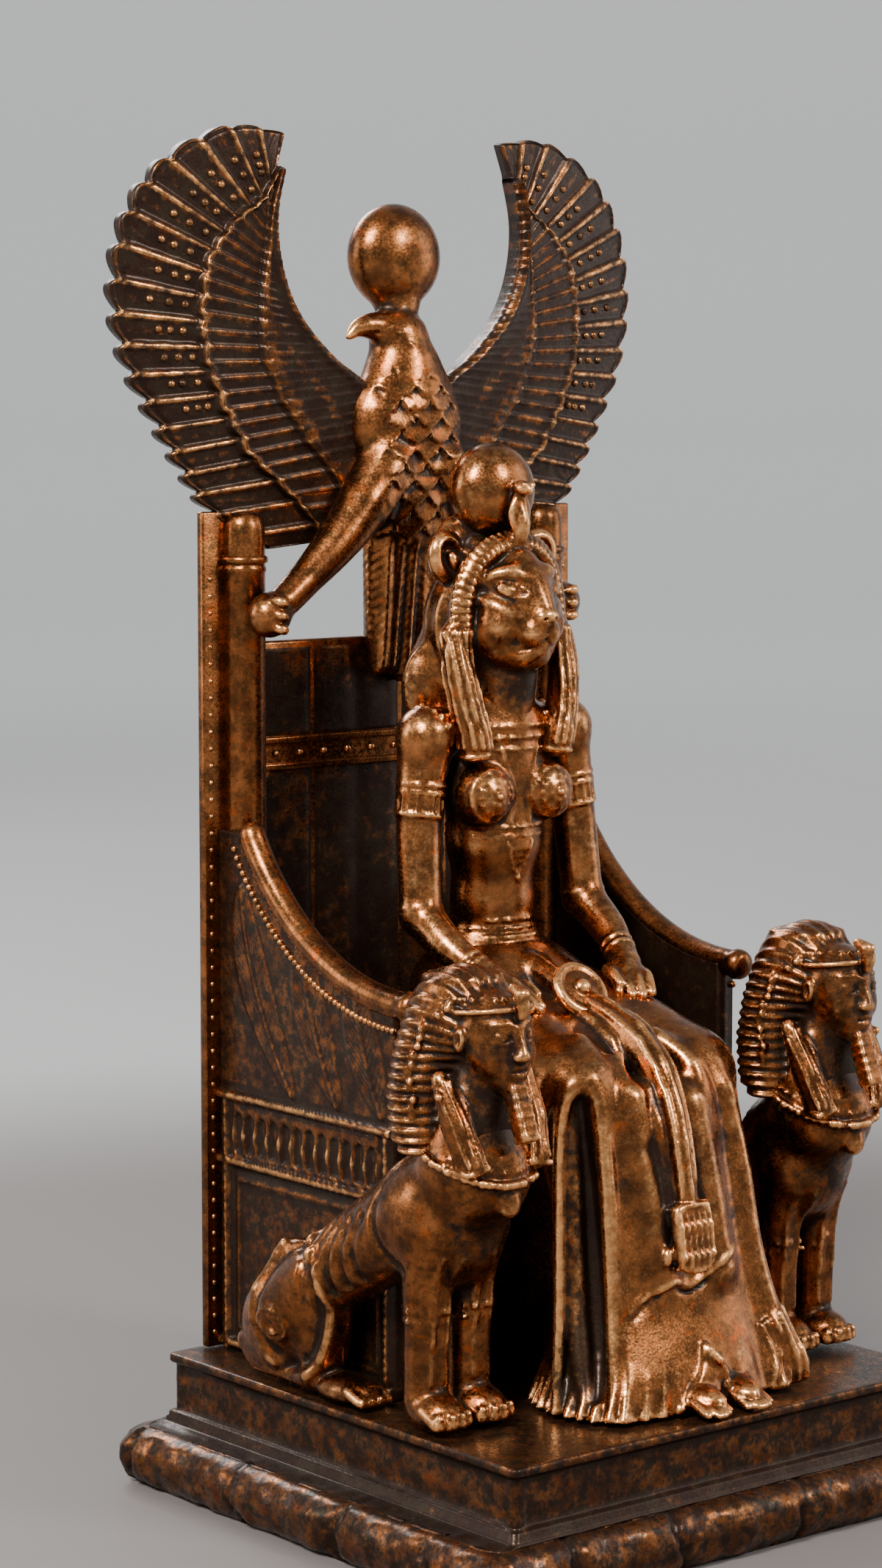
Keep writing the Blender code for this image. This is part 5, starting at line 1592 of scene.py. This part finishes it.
def hind_part(clay):
    """The body down to the haunch, the folded hind leg with its paw, and the tail."""
    clay.tube(((45.4, -17, 63), (47.4, -5, 56), (49, 7, 48), (49.4, 17, 40)), (10.5, 8.6, 7.6, 8.4), 3)
    clay.ball((49.4, 12.5, 41), (5.3, 9, 13.5), (-26, 0, 0), 2)
    clay.ball((49.4, 22.5, 35), (5.1, 10.2, 10.2), melt=2)
    clay.tube(((50.4, 5, 48), (50.6, 3.5, 39), (50, 9, 29.5)), (3.6, 3.2, 3.4), 1.5)
    clay.ball((49.8, 1, 27.6), (4.4, 8.5, 3), melt=1)
    for k in range(4):
        toe = 46.8 + 2.0 * k
        clay.tube(((toe, -3, 28.2), (toe, -7.2, 26.8)), (1.2, 1.2), 0.3, 2)
    clay.tube(((49.6, 32, 31), (50.6, 26, 27.4), (51, 14, 27.4), (51.4, 9, 28.6)),
              (2.4, 2.1, 2.1, 2.9), 0.8)


def flank_lines(clay):
    """The haunch loop with its inner fold and curl, and the ribs and shoulder of the outer flank."""
    loop = [(70, 12 + 10.2 * cos(a) - 3.5 * sin(a), 42 + 14.2 * sin(a) + 3 * cos(a))
            for a in angles(27, -70, 230)]
    clay.cord(loop, (-1, 0, 0), 1.1, 1.2, 2)
    inner = [(70, 12 + 0.76 * (p[1] - 12), 42 + 0.78 * (p[2] - 42)) for p in loop]
    clay.cord(inner, (-1, 0, 0), 0.8, 1.4, 2, True)
    curl = [(70, 15 + (3.6 - 0.09 * k) * cos(k * 0.42), 38 + (3.6 - 0.09 * k) * sin(k * 0.42))
            for k in range(30)]
    clay.cord(curl, (-1, 0, 0), 0.6, 0.5, 2)
    # Ribs and shoulder folds on the outer flank
    for k in range(5):
        start = -10 + 3.6 * k
        rib = [(70, start, 63 - 1.1 * k), (70, start + 2.4, 57 - 1.5 * k),
               (70, start + 2.2, 50.5 - 1.7 * k)]
        clay.cord(rib, (-1, 0, 0), 0.55, 1.2, 4, True)
    shoulder = [(70, -22 + 8.5 * sin(a), 66 + 12 * cos(a)) for a in angles(11, 20, 170)]
    clay.cord(shoulder, (-1, 0, 0), 0.6, 1.2, 2, True)


def chest_collar(clay):
    """Two rows of beads over the chest, each on a cord, and the boss below them."""
    for drop, size in ((0, 0.9), (-2.2, 0.45)):
        spots = [(43.8 + 19 * sin(a), -24 - 24 * cos(a), 72.2 + 10.5 * (1 - cos(a * 0.8)) - drop)
                 for a in angles(40, -118, 118)]
        clay.cord(spots, inward(spots, (43.8, -22)), 0.55 * size, 0.4)
        clay.beads(spots, inward(spots, (43.8, -22)), size)
    clay.ball((43.8, -38.6, 68.6), (2.4, 1.6, 2.6), melt=1.2)


def make_sphinx_body():
    """The sitting lion: chest with its collar, forelegs, ribs, folded hind leg and tail."""
    clay = Clay((31, -47, 24.4), (61, 38, 98), 0.55)
    clay.tube(((43.8, -27, 86), (43.8, -28.5, 76)), (6.0, 10.0), 3)
    clay.ball((44, -28.5, 72.5), (10, 10.8, 10.5), melt=3)
    clay.ball((44.2, -20.5, 63), (9.8, 12.5, 13), melt=3)
    forelegs(clay)
    hind_part(clay)
    flank_lines(clay)
    chest_collar(clay)
    # Painted shade low on the chest between the forelegs, under the beard, under the belly behind the
    # forelegs, and on the flank behind the shoulder
    clay.paint_shade((43.8, -36, 60), (9, 6, 7), 0.45)
    clay.paint_shade((43.6, -36, 84), (4.5, 5, 7), 0.6)
    clay.paint_shade((46, -12, 44), (8, 9, 9), 0.4)
    clay.paint_shade((50, -14, 66), (8, 9, 9), 0.25)
    # Room for the throne and the plinth
    clay.clear((0, -14.4, 0), (44.8, 80, 120))
    clay.clear((0, -80, 0), (80, 80, base_level))
    return clay.skin("sphinx_body_left", 0.012)


# Setting


def area_light(name, place, aim, size, power, colour):
    """A soft square lamp that looks at a point."""
    lamp = bpy.data.lights.new(name, "AREA")
    lamp.shape = "RECTANGLE"
    lamp.size, lamp.size_y = size
    lamp.energy = power
    lamp.color = colour
    made = linked(name, lamp)
    made.location = place
    made.rotation_euler = (Vector(aim) - Vector(place)).to_track_quat("-Z", "Y").to_euler()


# Name, place, aim, size, power and colour of each lamp
LAMPS = (("key", (-0.85, -0.35, 0.95), (0, 0, 0.13), (0.32, 0.32), 29, (1.0, 0.96, 0.90)),
         ("second", (0.35, -0.95, 0.80), (0, 0, 0.12), (0.22, 0.35), 11, (1.0, 0.97, 0.93)),
         ("fill", (0.95, -0.5, 0.4), (0, 0, 0.12), (0.5, 0.8), 3, (0.93, 0.96, 1.0)),
         ("rim", (0.1, 0.9, 0.75), (0, 0, 0.15), (0.6, 0.3), 8, (1, 1, 1)),
         ("back", (-0.9, 0.6, 0.5), (0, 0, 0.13), (0.4, 0.6), 4, (1, 1, 1)))
# Radius and level of the floor and its wall, in metres
FLOOR_PROFILE = ((0.4, 0.0), (1.2, 0.0), (2.0, 0.0), (2.6, 0.03), (3.1, 0.16), (3.5, 0.45), (3.7, 0.9),
                 (3.8, 2.6))
FLOOR_SIDES = 64


def paper():
    """The floor's plain finish, darker around the statue and pale farther out."""
    f = Finish("pale_paper")
    place = f.add("ShaderNodeTexCoord", {}).outputs["Object"]
    away = f.add("ShaderNodeVectorMath", {0: place}, operation="LENGTH").outputs["Value"]
    near = (0.145, 0.131, 0.127, 1)
    middle = (0.37, 0.37, 0.37, 1)
    far = (0.95, 0.95, 0.94, 1)
    tone = f.mix(f.graded(away, 0.28, 0.52), near, middle)
    tone = f.mix(f.graded(away, 0.6, 2.2), tone, far)
    f.feed(f.shader.inputs["Base Color"], tone)
    f.shader.inputs["Roughness"].default_value = 0.5
    f.shader.inputs["Specular IOR Level"].default_value = 0.3
    return f.material


def make_floor():
    """A floor that rises into a far round wall."""
    shape = bmesh.new()
    rings = []
    for radius, z in FLOOR_PROFILE:
        rings.append([shape.verts.new((radius * cos(a), radius * sin(a), z))
                      for a in angles(FLOOR_SIDES + 1)[:0:-1]])
    shape.faces.new(reversed(rings[0]))
    loft(shape, rings)
    mesh = bpy.data.meshes.new("floor")
    shape.to_mesh(mesh)
    shape.free()
    mesh.shade_smooth()
    floor = linked("floor", mesh)
    floor.data.materials.append(paper())


def make_setting():
    """The floor, soft daylight and lamps, and the camera."""
    make_floor()
    world = bpy.data.worlds.new("studio")
    world.use_nodes = True
    sky = world.node_tree.nodes["Background"].inputs
    sky["Color"].default_value = (0.75, 0.78, 0.82, 1)
    sky["Strength"].default_value = 0.62
    bpy.context.scene.world = world
    for lamp in LAMPS:
        area_light(*lamp)
    camera = bpy.data.cameras.new("camera")
    camera.lens = 86.05
    camera.sensor_width = 36
    camera.clip_start = 0.01
    view = linked("camera", camera)
    view.location = (-0.4707, -0.5401, 0.2133)
    view.rotation_euler = (radians(84), 0, radians(-39.34))
    bpy.context.scene.camera = view


def dress(piece, slot, material, *nodes):
    """Give a piece its finish, its body and the CAD nodes that it stands for."""
    piece.data.materials.clear()
    piece.data.materials.append(material)
    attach(piece, "root")
    if nodes:
        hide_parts(*nodes)


make_setting()

stone = worn_copper("plinth_finish", 1.0, 0.28, 0.8)
throne = worn_copper("throne_finish", 4.0, 0.07, 0.5)
carving = worn_copper("panel_finish", 5.0, 0.28, 0.6)
plumage = worn_copper("wing_finish", 6.0, 0.32, 0.3, 0.02)
figure = worn_copper("figure_finish", 8.0, -0.14, 0.25, 0.03)
beast = worn_copper("sphinx_finish", 12.0, 0.09, 0.3, 0.02)

dress(make_plinth(), "plinth_copper", stone, "plinth")
dress(make_frame(), "throne_copper", throne, "winged_throne")
panel_left = make_panel()
dress(panel_left, "throne_copper", carving)
dress(mirrored(panel_left, "throne_side_right"), "throne_copper", carving)
dress(make_falcon(), "throne_copper", throne)
wing_right = make_wing()
dress(wing_right, "throne_copper", plumage)
dress(mirrored(wing_right, "wing_left"), "throne_copper", plumage)
dress(make_head(), "figure_copper", figure, "lion_goddess")
dress(make_torso(), "figure_copper", figure)
dress(make_skirt(), "figure_copper", figure)
dress(make_medallion(), "figure_copper", figure)
head_left = make_sphinx_head()
body_left = make_sphinx_body()
dress(head_left, "sphinx_copper", beast)
dress(body_left, "sphinx_copper", beast, "sphinx_left")
dress(mirrored(head_left, "sphinx_head_right"), "sphinx_copper", beast)
dress(mirrored(body_left, "sphinx_body_right"), "sphinx_copper", beast, "sphinx_right")
